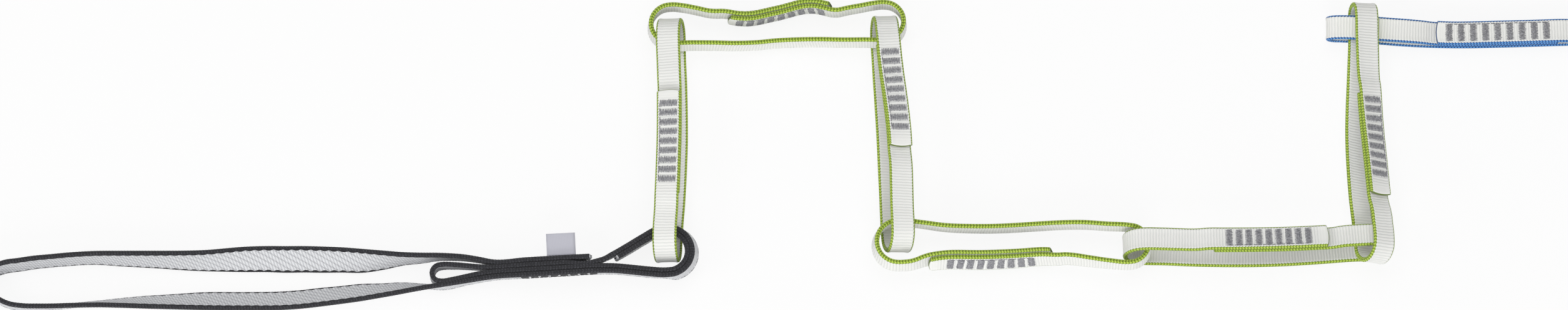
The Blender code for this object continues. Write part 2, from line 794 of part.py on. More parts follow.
class Tether:
    """Plan of the tether strip's top edge, with the eye's centre at the origin."""

    def __init__(self, hole_radius, base):
        self.base = base
        self.pitch = TETHER_THICKNESS + LAYER_GAP
        self.inner_radius = hole_radius + TETHER_THICKNESS / 2
        self.outer_radius = self.inner_radius + self.pitch
        self.stack_way = direction(STACK_SLOPE)
        self.stack_up = direction(STACK_SLOPE + 90)
        self.stack_end = Vector((-EYE_LEG_START, -STACK_DROP, 0.0))
        self.stack_start = self.stack_end - self.stack_way * STACK_LENGTH

    def stack(self, along, layer):
        """Point of a stack layer: along from the stack's right end, layers counted upward."""
        return self.stack_end + self.stack_way * along + self.stack_up * (layer * self.pitch)

    def leg(self, inward):
        """Upper leg of the eye from the stack to the eye's arc, pushed inward."""
        way = direction(EYE_LEG_SLOPE)
        top = direction(EYE_LEG_SLOPE + 90)
        tangent = top * (self.outer_radius - inward)
        start = self.stack(0.0, UPPER_EYE_LAYER) - top * inward
        peel = direction(EYE_PEEL_SLOPE)
        return curve(start, peel, tangent, way, LEG_STEPS, 0.9) + [tangent]

    def path(self):
        """(point, lean outward in degrees) along the strip, from the inner end to the tail."""
        pitch, centre = self.pitch, Vector((0.0, 0.0, 0.0))
        top, bottom = EYE_LEG_SLOPE + 90, -90.0
        inner_leg = self.leg(pitch)
        clear = [point for point in inner_leg if point.x > -INNER_END_START]
        path = [(point, 0.0) for point in clear[:-1]]
        path += self.eye_arc(self.inner_radius, top, bottom)
        path += [(point, 0.0) for point in self.lower_leg(LOWER_EYE_LAYER, self.inner_radius)]
        left = self.stack(-STACK_LENGTH, LOWER_EYE_LAYER)
        path += [(point, 0.0) for point in self.stack_run(LOWER_EYE_LAYER)]
        small = self.small_eye_centre()
        away = -self.stack_way
        below = small + direction(bottom) * SMALL_EYE_RADIUS
        above = small + direction(-bottom) * SMALL_EYE_RADIUS
        path += [(point, 0.0) for point in curve(left, away, below, away, LEG_STEPS)]
        path += [
            (point, 0.0) for point in arc(small, SMALL_EYE_RADIUS, bottom, -270.0, SMALL_EYE_STEPS)
        ]
        right = self.stack(-STACK_LENGTH, UPPER_EYE_LAYER)
        path += [(point, 0.0) for point in curve(above, self.stack_way, right, self.stack_way,
                                                 LEG_STEPS)]
        path += [(point, 0.0) for point in reversed(self.stack_run(UPPER_EYE_LAYER))]
        path += [(point, 0.0) for point in self.leg(0.0)[:-1]]
        path += self.eye_arc(self.outer_radius, top, bottom)
        path += [(point, 0.0) for point in self.lower_leg(LOOP_LAYER, self.outer_radius)]
        path += [(point, 0.0) for point in self.stack_run(LOOP_LAYER)]
        path += self.big_loop()
        upper_start = self.stack(-STACK_LENGTH, TAIL_LAYER)
        tail = self.stack(EYE_LEG_START - UPPER_TAIL_START, TAIL_LAYER)
        path += [(point, 0.0) for point in between(upper_start, tail, STACK_STEPS)]
        path.append((tail, 0.0))
        return path

    def eye_arc(self, radius, first, last):
        """The arc of the eye, whose lower edge flares outward furthest at its right end."""
        centre = Vector((0.0, 0.0, 0.0))
        made = []
        for angle in between(first, last, EYE_STEPS):
            spread = max(math.cos(math.radians(angle + EYE_FLARE_TURN)), 0.0)
            made.append((centre + direction(angle) * radius, EYE_FLARE * spread))
        return made

    def lower_leg(self, layer, radius):
        """From the bottom of the eye's arc to the stack."""
        start = Vector((0.0, -radius, 0.0))
        end = self.stack(0.0, layer)
        return curve(start, direction(180.0), end, -self.stack_way, LEG_STEPS)

    def stack_run(self, layer):
        """From the stack's right end to its left end, without the last point."""
        return between(self.stack(0.0, layer), self.stack(-STACK_LENGTH, layer), STACK_STEPS)

    def small_eye_centre(self):
        return self.stack_start - self.stack_way * (SMALL_EYE_LENGTH - SMALL_EYE_RADIUS)

    def big_loop(self):
        """The girth loop: its lower strand, tip and upper strand, as (point, lean) pairs."""
        shares = BIG_LOOP_LOWER_SHARES + BIG_LOOP_TIP_SHARES + BIG_LOOP_UPPER_SHARES
        points = [self.stack(-STACK_LENGTH, LOOP_LAYER)]
        leans = [0.0]
        for along, across, lean in shares:
            x = self.stack_start.x - BIG_LOOP_LENGTH * along
            y = self.stack_start.y - BIG_LOOP_DROP * along + BIG_LOOP_WIDTH * across
            points.append(Vector((x, y, 0.0)))
            leans.append(lean)
        points.append(self.stack(-STACK_LENGTH, TAIL_LAYER))
        leans.append(0.0)
        made = []
        for index, point in enumerate(smooth_through(points, BIG_LOOP_STEPS)):
            knot, part = divmod(index, BIG_LOOP_STEPS)
            share = part / BIG_LOOP_STEPS
            lean = leans[knot] * (1 - share) + leans[knot + 1] * share
            made.append((point, lean))
        return made

    def base_height(self, x):
        """The strip rests on the table along the big loop and rises to the eye."""
        low = self.stack_start.x - BIG_LOOP_LENGTH / 4
        return self.base * smooth((x - low) / (-EYE_LEG_START - low))

    def frames(self):
        """(middle point, across, out) along the strip, with its top edge over the plan."""
        path = self.path()
        sine, cosine, _ = sines(TETHER_LEAN)
        frames = []
        for index, (point, lean) in enumerate(path):
            before = path[max(index - 1, 0)][0]
            after = path[min(index + 1, len(path) - 1)][0]
            tangent = (after - before).normalized()
            out = Vector((0, 0, 1)).cross(tangent)
            share = smooth((point.x - self.stack_start.x + BIG_LOOP_LENGTH / 4)
                           / (BIG_LOOP_LENGTH / 4))
            lean_angle = math.radians(lean)
            up = Vector((0, -sine * share, cosine * share + (1 - share)))
            up = (up * math.cos(lean_angle) + out * math.sin(lean_angle)).normalized()
            thick = TETHER_THICKNESS / 2 * abs(up.xy.length)
            top = self.base_height(point.x) + TETHER_WIDTH * up.z + thick
            edge = Vector((point.x, point.y, top))
            middle = edge - up * (TETHER_WIDTH / 2)
            level = Vector((out.x, out.y, 0.0))
            frames.append((middle, -up, level - up * level.dot(up)))
        return frames


def build_tether(tether, origin):
    """The tether's webbing, its label and the thread on both faces of its stack."""
    frames = [(point + origin, across, out.normalized()) for point, across, out in tether.frames()]
    webbing = band("tether_webbing", frames, TETHER_WIDTH, TETHER_THICKNESS, origin, "tether")
    sine, cosine, _ = sines(TETHER_LEAN)
    up = Vector((0.0, -sine, cosine))
    face = 2 * tether.pitch - LAYER_GAP / 2 + THREAD_GAP

    def surface(side):
        def at(along, across):
            layer = face / tether.pitch * side
            edge = tether.stack(along, layer)
            base = tether.base_height(edge.x)
            middle = base + TETHER_WIDTH / 2 * cosine
            point = edge - up * (TETHER_WIDTH / 2 + across)
            point.z = middle + TETHER_THICKNESS / 2 * sine - across * cosine
            return point + origin, tether.stack_up * side
        return at

    def pack(name, side, count, length, end):
        pitch = (length - BAR_LENGTH) / (count - 1)
        starts = [EYE_LEG_START - end - length + pitch * index for index in range(count)]
        widths = (
            -TETHER_BAR_WIDTH / 2,
            -TETHER_BAR_WIDTH / 2 + RUN_WIDTH,
            TETHER_BAR_WIDTH / 2,
        )
        return comb(name, surface(side), starts, BAR_LENGTH, widths, THREAD_THICKNESS, origin,
                    "tether_thread")

    made = [webbing]
    made.append(pack("tether_needle_thread", -1, TETHER_BAR_COUNT, TETHER_BAR_PACK_LENGTH,
                     TETHER_PACK_END))
    made.append(pack("tether_bobbin_thread", 1, UPPER_TETHER_BAR_COUNT,
                     UPPER_TETHER_BAR_PACK_LENGTH, UPPER_TETHER_PACK_END))
    made.append(build_label(tether, origin))
    return made


def build_label(tether, origin):
    """A thin tab that leaves the stack's upper side and droops a little."""
    sine, cosine, _ = sines(TETHER_LEAN)
    face = 2 * tether.pitch - LAYER_GAP / 2 + CLEARANCE
    along = EYE_LEG_START - LABEL_CENTRE
    root = tether.stack(along, face / tether.pitch)
    base = tether.base_height(root.x)
    height = base + TETHER_WIDTH * cosine * LABEL_HEIGHT_SHARE
    root += Vector((0.0, TETHER_WIDTH * sine * (1 - LABEL_HEIGHT_SHARE), 0.0))
    builder = bmesh.new()
    rows = []
    for step in range(LABEL_STEPS + 1):
        share = step / LABEL_STEPS
        point = root + tether.stack_up * (LABEL_LENGTH * share)
        point.z = height - LABEL_DROOP * share**2
        row = []
        for side in (-1, 1):
            for level in (0, 1):
                corner = point + tether.stack_way * (side * LABEL_WIDTH / 2)
                corner.z += level * LABEL_THICKNESS
                row.append(builder.verts.new(corner + origin))
        rows.append(row)
    for row, following in zip(rows, rows[1:]):
        for first, second in ((0, 1), (1, 3), (3, 2), (2, 0)):
            builder.faces.new((row[first], row[second], following[second], following[first]))
    for row in (rows[0], rows[-1]):
        builder.faces.new((row[0], row[1], row[3], row[2]))
    return add_object("label", builder, origin, "label")


def clear_scene():
    for obj in list(bpy.data.objects):
        bpy.data.objects.remove(obj, do_unlink=True)


def bounds(objects):
    corners = [obj.matrix_world @ vertex.co for obj in objects for vertex in obj.data.vertices]
    low = Vector([min(corner[axis] for corner in corners) for axis in range(3)])
    high = Vector([max(corner[axis] for corner in corners) for axis in range(3)])
    return low, high


def build():
    clear_scene()
    links, pivots, heights, hole_radius = lay_out()
    link_1, link_2, link_3, link_4, link_5, link_6, end_link = links
    tether = Tether(hole_radius, heights["tether_base"])
    objects = build_tether(tether, pivots["tether_link_1"])
    pivot_of = dict(zip((link.name for link in links), pivots.values()))
    for link in links:
        pack_length = END_BAR_PACK_LENGTH if link.name == "end_link" else BAR_PACK_LENGTH
        lower_strand = link.name in LOWER_SEWN_LINKS
        objects += build_link(
            link, pivot_of[link.name], LAP_CENTRE_SHARES[link.name], lower_strand, pack_length
        )
    bpy.context.view_layer.update()
    low, high = bounds(objects)
    centre = Vector(((low.x + high.x) / 2, (low.y + high.y) / 2, low.z))
    for obj in objects:
        obj.location -= centre
    bpy.context.view_layer.update()
    print("size", [round(value * 1000, 2) for value in high - low])
    for name, pivot in pivots.items():
        print("pivot", name, [round(value, 5) for value in pivot - centre])


build()
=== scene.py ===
# %% [markdown]
# # A climbing daisy chain, dressed for its portrait
#
# The real thing is a chain of webbing loops: a black and grey tether, six white links with green
# edges and one white link with blue edges. Each loop is a single strip that laps over itself and
# is sewn there with bars of zigzag. The CAD model already has every strip in its place, so this
# lesson keeps those places and adds what the CAD leaves out: rounded woven edges, the grain of
# the weave, the stitches and the melted ends. Everything is in metres, with Z up.

# %% Load the fixed CAD frame
import itertools
import json
import math

import bmesh
import bpy
import numpy as np
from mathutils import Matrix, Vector
from mathutils.kdtree import KDTree

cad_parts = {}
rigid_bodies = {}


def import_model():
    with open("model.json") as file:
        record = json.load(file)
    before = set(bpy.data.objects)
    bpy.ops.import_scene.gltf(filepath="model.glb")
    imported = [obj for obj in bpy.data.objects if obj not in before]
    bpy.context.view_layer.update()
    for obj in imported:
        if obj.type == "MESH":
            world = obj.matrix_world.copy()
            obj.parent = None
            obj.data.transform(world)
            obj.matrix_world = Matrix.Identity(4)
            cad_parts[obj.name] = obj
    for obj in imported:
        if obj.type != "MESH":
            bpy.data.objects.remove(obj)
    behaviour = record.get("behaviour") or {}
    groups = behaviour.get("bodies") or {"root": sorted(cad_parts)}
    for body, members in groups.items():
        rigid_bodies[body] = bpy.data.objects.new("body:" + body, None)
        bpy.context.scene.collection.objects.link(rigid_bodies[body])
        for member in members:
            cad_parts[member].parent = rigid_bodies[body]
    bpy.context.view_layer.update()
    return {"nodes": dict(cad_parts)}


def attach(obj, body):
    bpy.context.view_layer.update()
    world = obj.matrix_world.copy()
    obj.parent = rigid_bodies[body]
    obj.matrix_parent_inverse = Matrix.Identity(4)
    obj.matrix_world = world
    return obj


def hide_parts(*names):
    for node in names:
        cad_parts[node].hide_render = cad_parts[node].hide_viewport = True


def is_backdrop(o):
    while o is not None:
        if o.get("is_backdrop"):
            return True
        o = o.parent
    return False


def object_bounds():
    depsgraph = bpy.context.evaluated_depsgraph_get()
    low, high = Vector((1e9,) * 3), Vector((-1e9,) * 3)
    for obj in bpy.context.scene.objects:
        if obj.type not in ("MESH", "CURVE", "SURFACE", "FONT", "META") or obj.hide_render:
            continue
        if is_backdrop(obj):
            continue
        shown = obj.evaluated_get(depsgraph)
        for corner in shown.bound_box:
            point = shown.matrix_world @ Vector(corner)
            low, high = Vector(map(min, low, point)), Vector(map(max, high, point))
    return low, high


for leftover in list(bpy.data.objects):
    bpy.data.objects.remove(leftover)
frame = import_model()
MM = 0.001


def in_mm(lengths):
    """Lengths in millimetres, rounded for printing."""
    return [round(float(length) / MM, 1) for length in lengths]


def placed(name, data):
    """A new object, put in the scene."""
    made = bpy.data.objects.new(name, data)
    bpy.context.scene.collection.objects.link(made)
    return made


# %% [markdown]
# ## The camera
#
# The photograph looks down on the table at a steep angle, from so far away that near and far
# loops are drawn at the same scale. An orthographic camera could draw that too, but a very long
# lens at six metres is closer to a real one. The camera aims at the point of the table that lies
# in the middle of the picture, and its lens is worked out from the width of table that the
# picture takes in.

# %% Place the camera
ELEVATION = math.radians(74.0)
CAMERA_DISTANCE = 6.0
SENSOR_WIDTH = 36.0
PICTURE_PIXELS = 2510
PIXELS_PER_MM = 3.55
PICTURE_WIDTH = PICTURE_PIXELS / PIXELS_PER_MM * MM
PICTURE_CENTRE = Vector((-22.95 * MM, 2.25 * MM, 0.0))

camera_data = bpy.data.cameras.new("long_lens")
camera_data.sensor_width = SENSOR_WIDTH
camera_data.lens = SENSOR_WIDTH * CAMERA_DISTANCE / PICTURE_WIDTH
camera = placed("camera", camera_data)
back = Vector((0.0, -math.cos(ELEVATION), math.sin(ELEVATION)))
camera.location = PICTURE_CENTRE + back * CAMERA_DISTANCE
camera.rotation_euler = (math.pi / 2 - ELEVATION, 0.0, 0.0)
bpy.context.scene.camera = camera
bpy.context.scene.view_settings.view_transform = "Standard"
print("lens", round(camera_data.lens, 1), "mm")

# %% [markdown]
# ## The table
#
# A product photograph on white paper has a background with no colour and hardly any shadow. The
# paper could be lit until it turns white, but then the white links would burn out too. So what
# the camera sees of the table is mostly a glow of strength one, which is exactly white, and rays
# that gloss or glass send on see the same glow. The rest is the real lit surface, so that a
# trace of the shadow stays and the chain doesn't seem to float.

# %% Make the table
TABLE_SIDE = 12.0
PAPER = (0.9, 0.9, 0.9, 1.0)
PAPER_ROUGHNESS = 0.9
GLOW_SHARE = 0.88


def white_sheet():
    """Material that looks white to the camera and keeps a little of its shadow."""
    made = bpy.data.materials.new("white_sheet")
    made.use_nodes = True
    nodes, links = made.node_tree.nodes, made.node_tree.links
    surface = nodes["Principled BSDF"]
    surface.inputs["Base Color"].default_value = PAPER
    surface.inputs["Roughness"].default_value = PAPER_ROUGHNESS
    glow = nodes.new("ShaderNodeEmission")
    rays = nodes.new("ShaderNodeLightPath")
    looking = rays.outputs["Is Camera Ray"]
    for kind in ("Is Glossy Ray", "Is Transmission Ray"):
        either = nodes.new("ShaderNodeMath")
        either.operation = "MAXIMUM"
        links.new(looking, either.inputs[0])
        links.new(rays.outputs[kind], either.inputs[1])
        looking = either.outputs[0]
    share = nodes.new("ShaderNodeMath")
    share.operation = "MULTIPLY"
    share.inputs[1].default_value = GLOW_SHARE
    mix = nodes.new("ShaderNodeMixShader")
    links.new(looking, share.inputs[0])
    links.new(share.outputs[0], mix.inputs[0])
    links.new(surface.outputs[0], mix.inputs[1])
    links.new(glow.outputs[0], mix.inputs[2])
    links.new(mix.outputs[0], nodes["Material Output"].inputs["Surface"])
    return made


sheet_builder = bmesh.new()
bmesh.ops.create_grid(sheet_builder, x_segments=1, y_segments=1, size=TABLE_SIDE / 2)
table_mesh = bpy.data.meshes.new("table")
sheet_builder.to_mesh(table_mesh)
sheet_builder.free()
table_mesh.materials.append(white_sheet())
table = placed("table", table_mesh)
table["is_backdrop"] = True
print("a white table of", TABLE_SIDE, "m")

# %% [markdown]
# ## The light
#
# The photograph has no hard shadow and no dark side, so its light comes from all round. A bright
# sky alone would do that, but it would also flatten the weave. Here a fainter sky fills the
# shadows, a wide lamp overhead and a low one in front light the faces that lie flat and those
# that stand on edge, and a smaller one from the left models the ribs.

# %% Hang the lamps
SKY_STRENGTH = 0.42
LAMP_PLACES = {"overhead": (0.1, 0.5, 1.8), "front": (0.1, -1.6, 0.9), "left": (-1.2, -0.5, 1.0)}
LAMP_SIDES = {"overhead": 1.4, "front": 1.0, "left": 0.6}
LAMP_WATTS = {"overhead": 10.5, "front": 14.5, "left": 4.5}

sky = bpy.data.worlds.new("sky")
sky.use_nodes = True
sky.node_tree.nodes["Background"].inputs["Color"].default_value = (1.0, 1.0, 1.0, 1.0)
sky.node_tree.nodes["Background"].inputs["Strength"].default_value = SKY_STRENGTH
bpy.context.scene.world = sky
for name, place in LAMP_PLACES.items():
    lamp = bpy.data.lights.new(name, "AREA")
    lamp.size = LAMP_SIDES[name]
    lamp.energy = LAMP_WATTS[name]
    holder = placed(name, lamp)
    holder.location = place
    holder.rotation_euler = (-Vector(place)).to_track_quat("-Z", "Y").to_euler()
print("a sky and", len(LAMP_PLACES), "lamps that point at the middle of the chain")

# %% [markdown]
# ## Reading a strip from the CAD
#
# A strip of webbing could be drawn again by hand, but then it would never lie exactly where the
# CAD has it. The CAD strip is a tube whose section has eight corners, and every section along it
# is the same eight-cornered outline in a new place. So the reader starts at a cut end, whose
# edges are the only square ones, and steps from outline to outline: it moves three corners along
# the strip's edges, and carries the other five with them. It tries several threes of corners, and
# takes the shortest step that lands on corners again. Where two turns of a strip touch, they may
# share a corner, so an outline may have a corner or two that were met before.

# %% Step along a strip from outline to outline
CORNER_SLACK = 0.25 * MM
SHARED_CORNERS = 2
SQUARE_SLACK = math.radians(15.0)
SECTION_CORNERS = 8
STEPPING_CORNERS = ([0, 3, 5], [0, 3, 6], [1, 4, 7], [2, 4, 7], [0, 3, 4], [1, 2, 5])


def cut_end(builder):
    """The eight corners of one cut end, in order round it."""
    beside = {}
    for edge in builder.edges:
        if abs(edge.calc_face_angle(0.0) - math.pi / 2) < SQUARE_SLACK:
            for vertex in edge.verts:
                beside.setdefault(vertex, []).append(edge.other_vert(vertex))
    ring = [min(beside, key=lambda vertex: vertex.co[:])]
    while len(ring) < SECTION_CORNERS:
        ring.append(next(vertex for vertex in beside[ring[-1]] if vertex not in ring))
    return ring


def carried(ring, old, new):
    """The ring's points moved as the three old points move to the new ones."""
    left, _, right = np.linalg.svd((old - old.mean(0)).T @ (new - new.mean(0)))
    turn = left @ np.diag([1.0, 1.0, np.sign(np.linalg.det(left @ right))]) @ right
    return (ring - old.mean(0)) @ turn + new.mean(0)


def sides(three):
    """The three distances between three points."""
    return np.linalg.norm(three - np.roll(three, 1, axis=0), axis=1)


def next_ring(ring, seen, tree, vertices):
    """The corners of the next outline along the strip, or None after the last one."""
    points = np.array([vertex.co for vertex in ring])
    free = [[edge.other_vert(corner) for edge in corner.link_edges] for corner in ring]
    free = [[other for other in others if other not in seen] for others in free]
    best, nearest = None, math.inf
    for three in STEPPING_CORNERS:
        for trio in itertools.product(*(free[corner] for corner in three)):
            new = np.array([vertex.co for vertex in trio])
            if np.abs(sides(new) - sides(points[three])).max() > CORNER_SLACK:
                continue
            moved = carried(points, points[three], new)
            found = [tree.find(point) for point in moved]
            fits = max(gap for _, _, gap in found) < CORNER_SLACK
            step = float(np.linalg.norm(moved.mean(0) - points.mean(0)))
            corners = [vertices[index] for _, index, _ in found]
            if fits and step < nearest and len(seen.intersection(corners)) <= SHARED_CORNERS:
                best, nearest = corners, step
    return best


print("a step that puts a corner more than", CORNER_SLACK / MM, "mm off is no step")

# %% [markdown]
# ## Following the eight strips
#
# The reader takes each strip's mesh from the frame, merges the points that its faces share, and
# steps along it until no step fits. It also counts the corners that it never met. A large number
# would mean that it stopped part of the way, so the count is worth printing.

# %% Read the strips
LINKS = ["link_1", "link_2", "link_3", "link_4", "link_5", "link_6", "end_link"]
SAME_POINT = 1e-6


def strip_corners(node):
    """(corners of a strip's outlines, by station and corner, and the number it never met)."""
    builder = bmesh.new()
    builder.from_mesh(frame["nodes"][node].data)
    bmesh.ops.remove_doubles(builder, verts=builder.verts, dist=SAME_POINT)
    vertices = list(builder.verts)
    tree = KDTree(len(vertices))
    for index, vertex in enumerate(vertices):
        tree.insert(vertex.co, index)
    tree.balance()
    ring, rings, seen = cut_end(builder), [], set()
    while ring:
        rings.append([vertex.co[:] for vertex in ring])
        seen.update(ring)
        ring = next_ring(ring, seen, tree, vertices)
    missed = len(vertices) - len(seen)
    builder.free()
    return np.array(rings), missed


read_strips = {name: strip_corners(f"{name}_webbing") for name in ["tether", *LINKS]}
for name, (corners, missed) in read_strips.items():
    print(name, "has", len(corners), "stations, and missed corners:", missed)

# %% [markdown]
# ## From stations to a smooth line
#
# The CAD has a station every few millimetres, and the real webbing bends smoothly. Blender could
# subdivide the CAD strip, but that would shrink its bends. So a short function draws a smooth
# line through the stations: it gives each of them the slope that its neighbours suggest, and
# blends from one to the next.

# %% Smooth a line through its stations
def unit(vectors):
    """The same vectors, each of length one."""
    return vectors / np.linalg.norm(vectors, axis=-1, keepdims=True)


def lengths_along(points):
    """Distance of each point from the first one, measured along the line through them."""
    return np.concatenate([[0.0], np.linalg.norm(np.diff(points, axis=0), axis=1).cumsum()])


def smooth_line(knots, values, wanted):
    """Smooth curve through values at the knots, read at the wanted places."""
    gaps = np.diff(knots)[:, None]
    slopes = np.diff(values, axis=0) / gaps
    middle = (slopes[1:] * gaps[:-1] + slopes[:-1] * gaps[1:]) / (gaps[1:] + gaps[:-1])
    turns = np.vstack([slopes[:1], middle, slopes[-1:]])
    index = np.clip(np.searchsorted(knots, wanted, "right") - 1, 0, len(gaps) - 1)
    gap = gaps[index]
    t = (wanted - knots[index])[:, None] / gap
    return (
        values[index] * (2 * t**3 - 3 * t**2 + 1)
        + turns[index] * gap * (t**3 - 2 * t**2 + t)
        + values[index + 1] * (3 * t**2 - 2 * t**3)
        + turns[index + 1] * gap * (t**3 - t**2)
    )


half_way = smooth_line(np.arange(3.0), np.array([[0.0], [1.0], [4.0]]), np.array([0.5, 1.5]))
print("half way between 0, 1 and 4 a smooth line is at", half_way.ravel().round(2).tolist())

# %% [markdown]
# ## The route of a strip
#
# Each strip can then be asked for its place, its way across and its way out at any distance along
# it. One of Blender's own curves would give the places, but it would choose its own twist. Here
# the way across comes from the CAD as well, so that the strip stands and leans as the CAD strip
# does.

# %% Give each strip a route
ROUTE_STEP = 0.1 * MM


class Strip:
    """Route of one strip of webbing, from one cut end to the other."""

    def __init__(self, corners):
        # The widest side of the section runs from corner 7 to corner 0, and is one of its faces.
        # Corners 3 and 4 are the other face, 1 and 2 are one edge, and 5 and 6 are the other.
        edges = corners.transpose(1, 0, 2)
        first = edges[:, 0]
        widths = np.linalg.norm(first - np.roll(first, 1, axis=0), axis=1)
        edges = np.roll(edges, -int(np.argmax(widths)), axis=0)
        across = edges[:4].mean(axis=0) - edges[4:].mean(axis=0)
        out = edges[[7, 0]].mean(axis=0) - edges[[3, 4]].mean(axis=0)
        middle = edges.mean(axis=0)
        self.width = float(np.linalg.norm(edges[[1, 2], 0].mean(0) - edges[[5, 6], 0].mean(0)))
        self.thickness = float(np.linalg.norm(out[0]))
        if ((middle - middle.mean(axis=0)) * unit(out)).sum() < 0:
            out, across = -out, -across
        knots = lengths_along(middle)
        dense = np.linspace(0.0, knots[-1], int(knots[-1] / ROUTE_STEP))
        self.places = smooth_line(knots, middle, dense)
        self.across = unit(smooth_line(knots, unit(across), dense))
        tangents = unit(np.gradient(self.places, axis=0))
        self.across = unit(self.across - tangents * (self.across * tangents).sum(1)[:, None])
        facing = np.cross(tangents, self.across)
        wanted = smooth_line(knots, unit(out), dense)
        self.out = facing * np.sign((facing * wanted).sum())
        self.along = lengths_along(self.places)
        self.length = float(self.along[-1])
        self.packs = {}

    def turn_round(self):
        """Counts the strip from its other end."""
        self.places, self.across, self.out = self.places[::-1], self.across[::-1], self.out[::-1]
        self.along = self.length - self.along[::-1]

    def at(self, along):
        """(places, across, out) at these distances along the strip."""
        read = [
            np.stack([np.interp(along, self.along, table[:, axis]) for axis in range(3)], axis=1)
            for table in (self.places, self.across, self.out)
        ]
        return read[0], unit(read[1]), unit(read[2])


strips = {name: Strip(corners) for name, (corners, _) in read_strips.items()}
for name, strip in strips.items():
    print(name, "length, width and thickness", in_mm([strip.length, strip.width, strip.thickness]))

# %% [markdown]
# ## Where the strips are sewn
#
# A link's lap is sewn through once, and the needle thread shows on its outer face and the bobbin
# thread on its inner one. The CAD has a solid for each, whose ends along the strip say where the
# bars start and stop. They could be measured in the photograph, but then the bars might miss the
# lap. Each link's strip is turned so that its last end is the outer one, with the needle thread.

# %% Find the sewn part of each strip
FACES = {"needle": 1, "bobbin": -1}
TAIL_REACH = 70 * MM
PLACES_APART = 3


def node_points(node):
    """The corners of a CAD node."""
    points = np.empty(len(frame["nodes"][node].data.vertices) * 3, np.float32)
    frame["nodes"][node].data.vertices.foreach_get("co", points)
    return points.reshape(-1, 3).astype(float)


def nearest_along(strip, points, start, end):
    """(distance along the strip of the place nearest each point, gap), from start to end."""
    inside = (strip.along >= start) & (strip.along <= end)
    places, along = strip.places[inside][::PLACES_APART], strip.along[inside][::PLACES_APART]
    gaps = np.linalg.norm(points[:, None] - places[None], axis=2)
    return along[gaps.argmin(axis=1)], gaps.min(axis=1)


for name in LINKS:
    strip = strips[name]
    thread_points = {thread: node_points(f"{name}_{thread}_thread") for thread in FACES}
    tails = {"needle": (strip.length - TAIL_REACH, strip.length), "bobbin": (0.0, TAIL_REACH)}
    at_last, at_first = (
        nearest_along(strip, thread_points["needle"], *tails[thread])[1].mean() for thread in FACES
    )
    if at_first < at_last:
        strip.turn_round()
    for thread in FACES:
        along, _ = nearest_along(strip, thread_points[thread], *tails[thread])
        strip.packs[thread] = (float(along.min()), float(along.max()))
    print(name, "sewn from", in_mm(strip.packs["needle"]))

# %% [markdown]
# ## The section of the webbing
#
# Sling webbing is woven flat, and its two edges are thicker than its middle: a braided cord runs
# along each side. A plain flat section would look like tape, so the strip is swept along its
# route with a section that has those two round edges and a slightly hollow face. Lengths round
# the section are counted from the middle of the outer face, so both edges of the strip lie a
# quarter of the way round from it.

# %% Draw the section
FACE_HOLLOW = 0.20 * MM
HOLLOW_SHARES = (1.0, 1.0, 0.9, 0.2)
EDGE_TURNS = (90, 60, 30)


def webbing_section(width, thickness):
    """Outline from the middle of the inner face round one edge to the outer face, and back."""
    half, deep = width / 2, thickness / 2
    inside = half - 2 * deep
    # The face is hollow up to the cord of the edge, and then rises to the top of the cord.
    face = (0.0, inside * 0.55, inside, half - 1.45 * deep)
    quarter = [(x, deep - FACE_HOLLOW * share) for x, share in zip(face, HOLLOW_SHARES)]
    for turn in np.radians(EDGE_TURNS):
        quarter.append((half - deep + deep * math.cos(turn), deep * math.sin(turn)))
    outline = [(x, -y) for x, y in quarter] + [(half, 0.0)] + quarter[::-1]
    outline += [(-x, y) for x, y in quarter[1:]] + [(-half, 0.0)]
    outline += [(-x, -y) for x, y in quarter[:0:-1]]
    return np.array(outline)


def round_section(outline):
    """Length round the section at each corner, and at the first corner again."""
    around = lengths_along(np.vstack([outline, outline[:1]]))
    return around - around[-1] / 2


def half_way_round(strip):
    """Length from the middle of one face round an edge to the middle of the other."""
    return float(round_section(webbing_section(strip.width, strip.thickness))[-1])


print("half way round a link's webbing is", in_mm([half_way_round(strips["link_1"])]), "mm")

# %% [markdown]
# ## Beads and ribs
#
# A braid is a row of beads, and a ribbed face is a row of low ridges. A bump in the material would
# shade them, but both show on the outline of the strip, so they are shaped as well. Each is a
# smooth wave along the strip, and the beads slant as the threads of a braid do.

# %% Shape beads and ribs
BRAID_PITCH = 1.35 * MM
BRAID_BEAD = 0.04 * MM
BEAD_SLANT = 0.30
RIB_PITCH = 1.30 * MM
RIB_HEIGHT = 0.02 * MM
ROUND_SLACK = 0.01 * MM


def swing(value, pitch):
    """Smooth wave from -1 to 1 with this pitch."""
    return np.sin(value * 2 * math.pi / pitch)


def thread_relief(outline, along, thickness):
    """(way out at each corner, how far each corner stands out at each station)."""
    deep = thickness / 2
    beyond = np.abs(outline[:, 0]) - (outline[:, 0].max() - deep)
    edge = beyond > -ROUND_SLACK
    way = np.stack([np.sign(outline[:, 0]) * beyond, outline[:, 1]], axis=1)
    way = np.where(edge[:, None], way, [[0.0, 1.0]] * np.sign(outline[:, 1:2]))
    around = round_section(outline)
    from_edge = np.abs(np.abs(around[:-1]) - around[-1] / 2)
    beads = swing(along[:, None] + BEAD_SLANT * from_edge, BRAID_PITCH) * BRAID_BEAD
    ribs = swing(along[:, None], RIB_PITCH) * RIB_HEIGHT
    return unit(way), np.where(edge, beads, ribs)


print("beads", BRAID_BEAD / MM, "mm high, every", BRAID_PITCH / MM, "mm")

# %% [markdown]
# ## Sewn faces
#
# Where bars of stitching cross a face, the thread pulls it in under each bar, and it puffs up
# between them. Each dent could be sculpted on its own, but the bars stand at one pitch, so a wave
# with that pitch makes them all. It fades out just past the first and the last bar.

# %% Pull in the sewn faces
LINK_BARS = 9
CAD_BAR_LENGTH = 2.4 * MM
STITCH_DENT = 0.22 * MM
STITCH_PUFF = 0.08 * MM
PACK_MARGIN = 0.7
PACK_FADE = 0.4


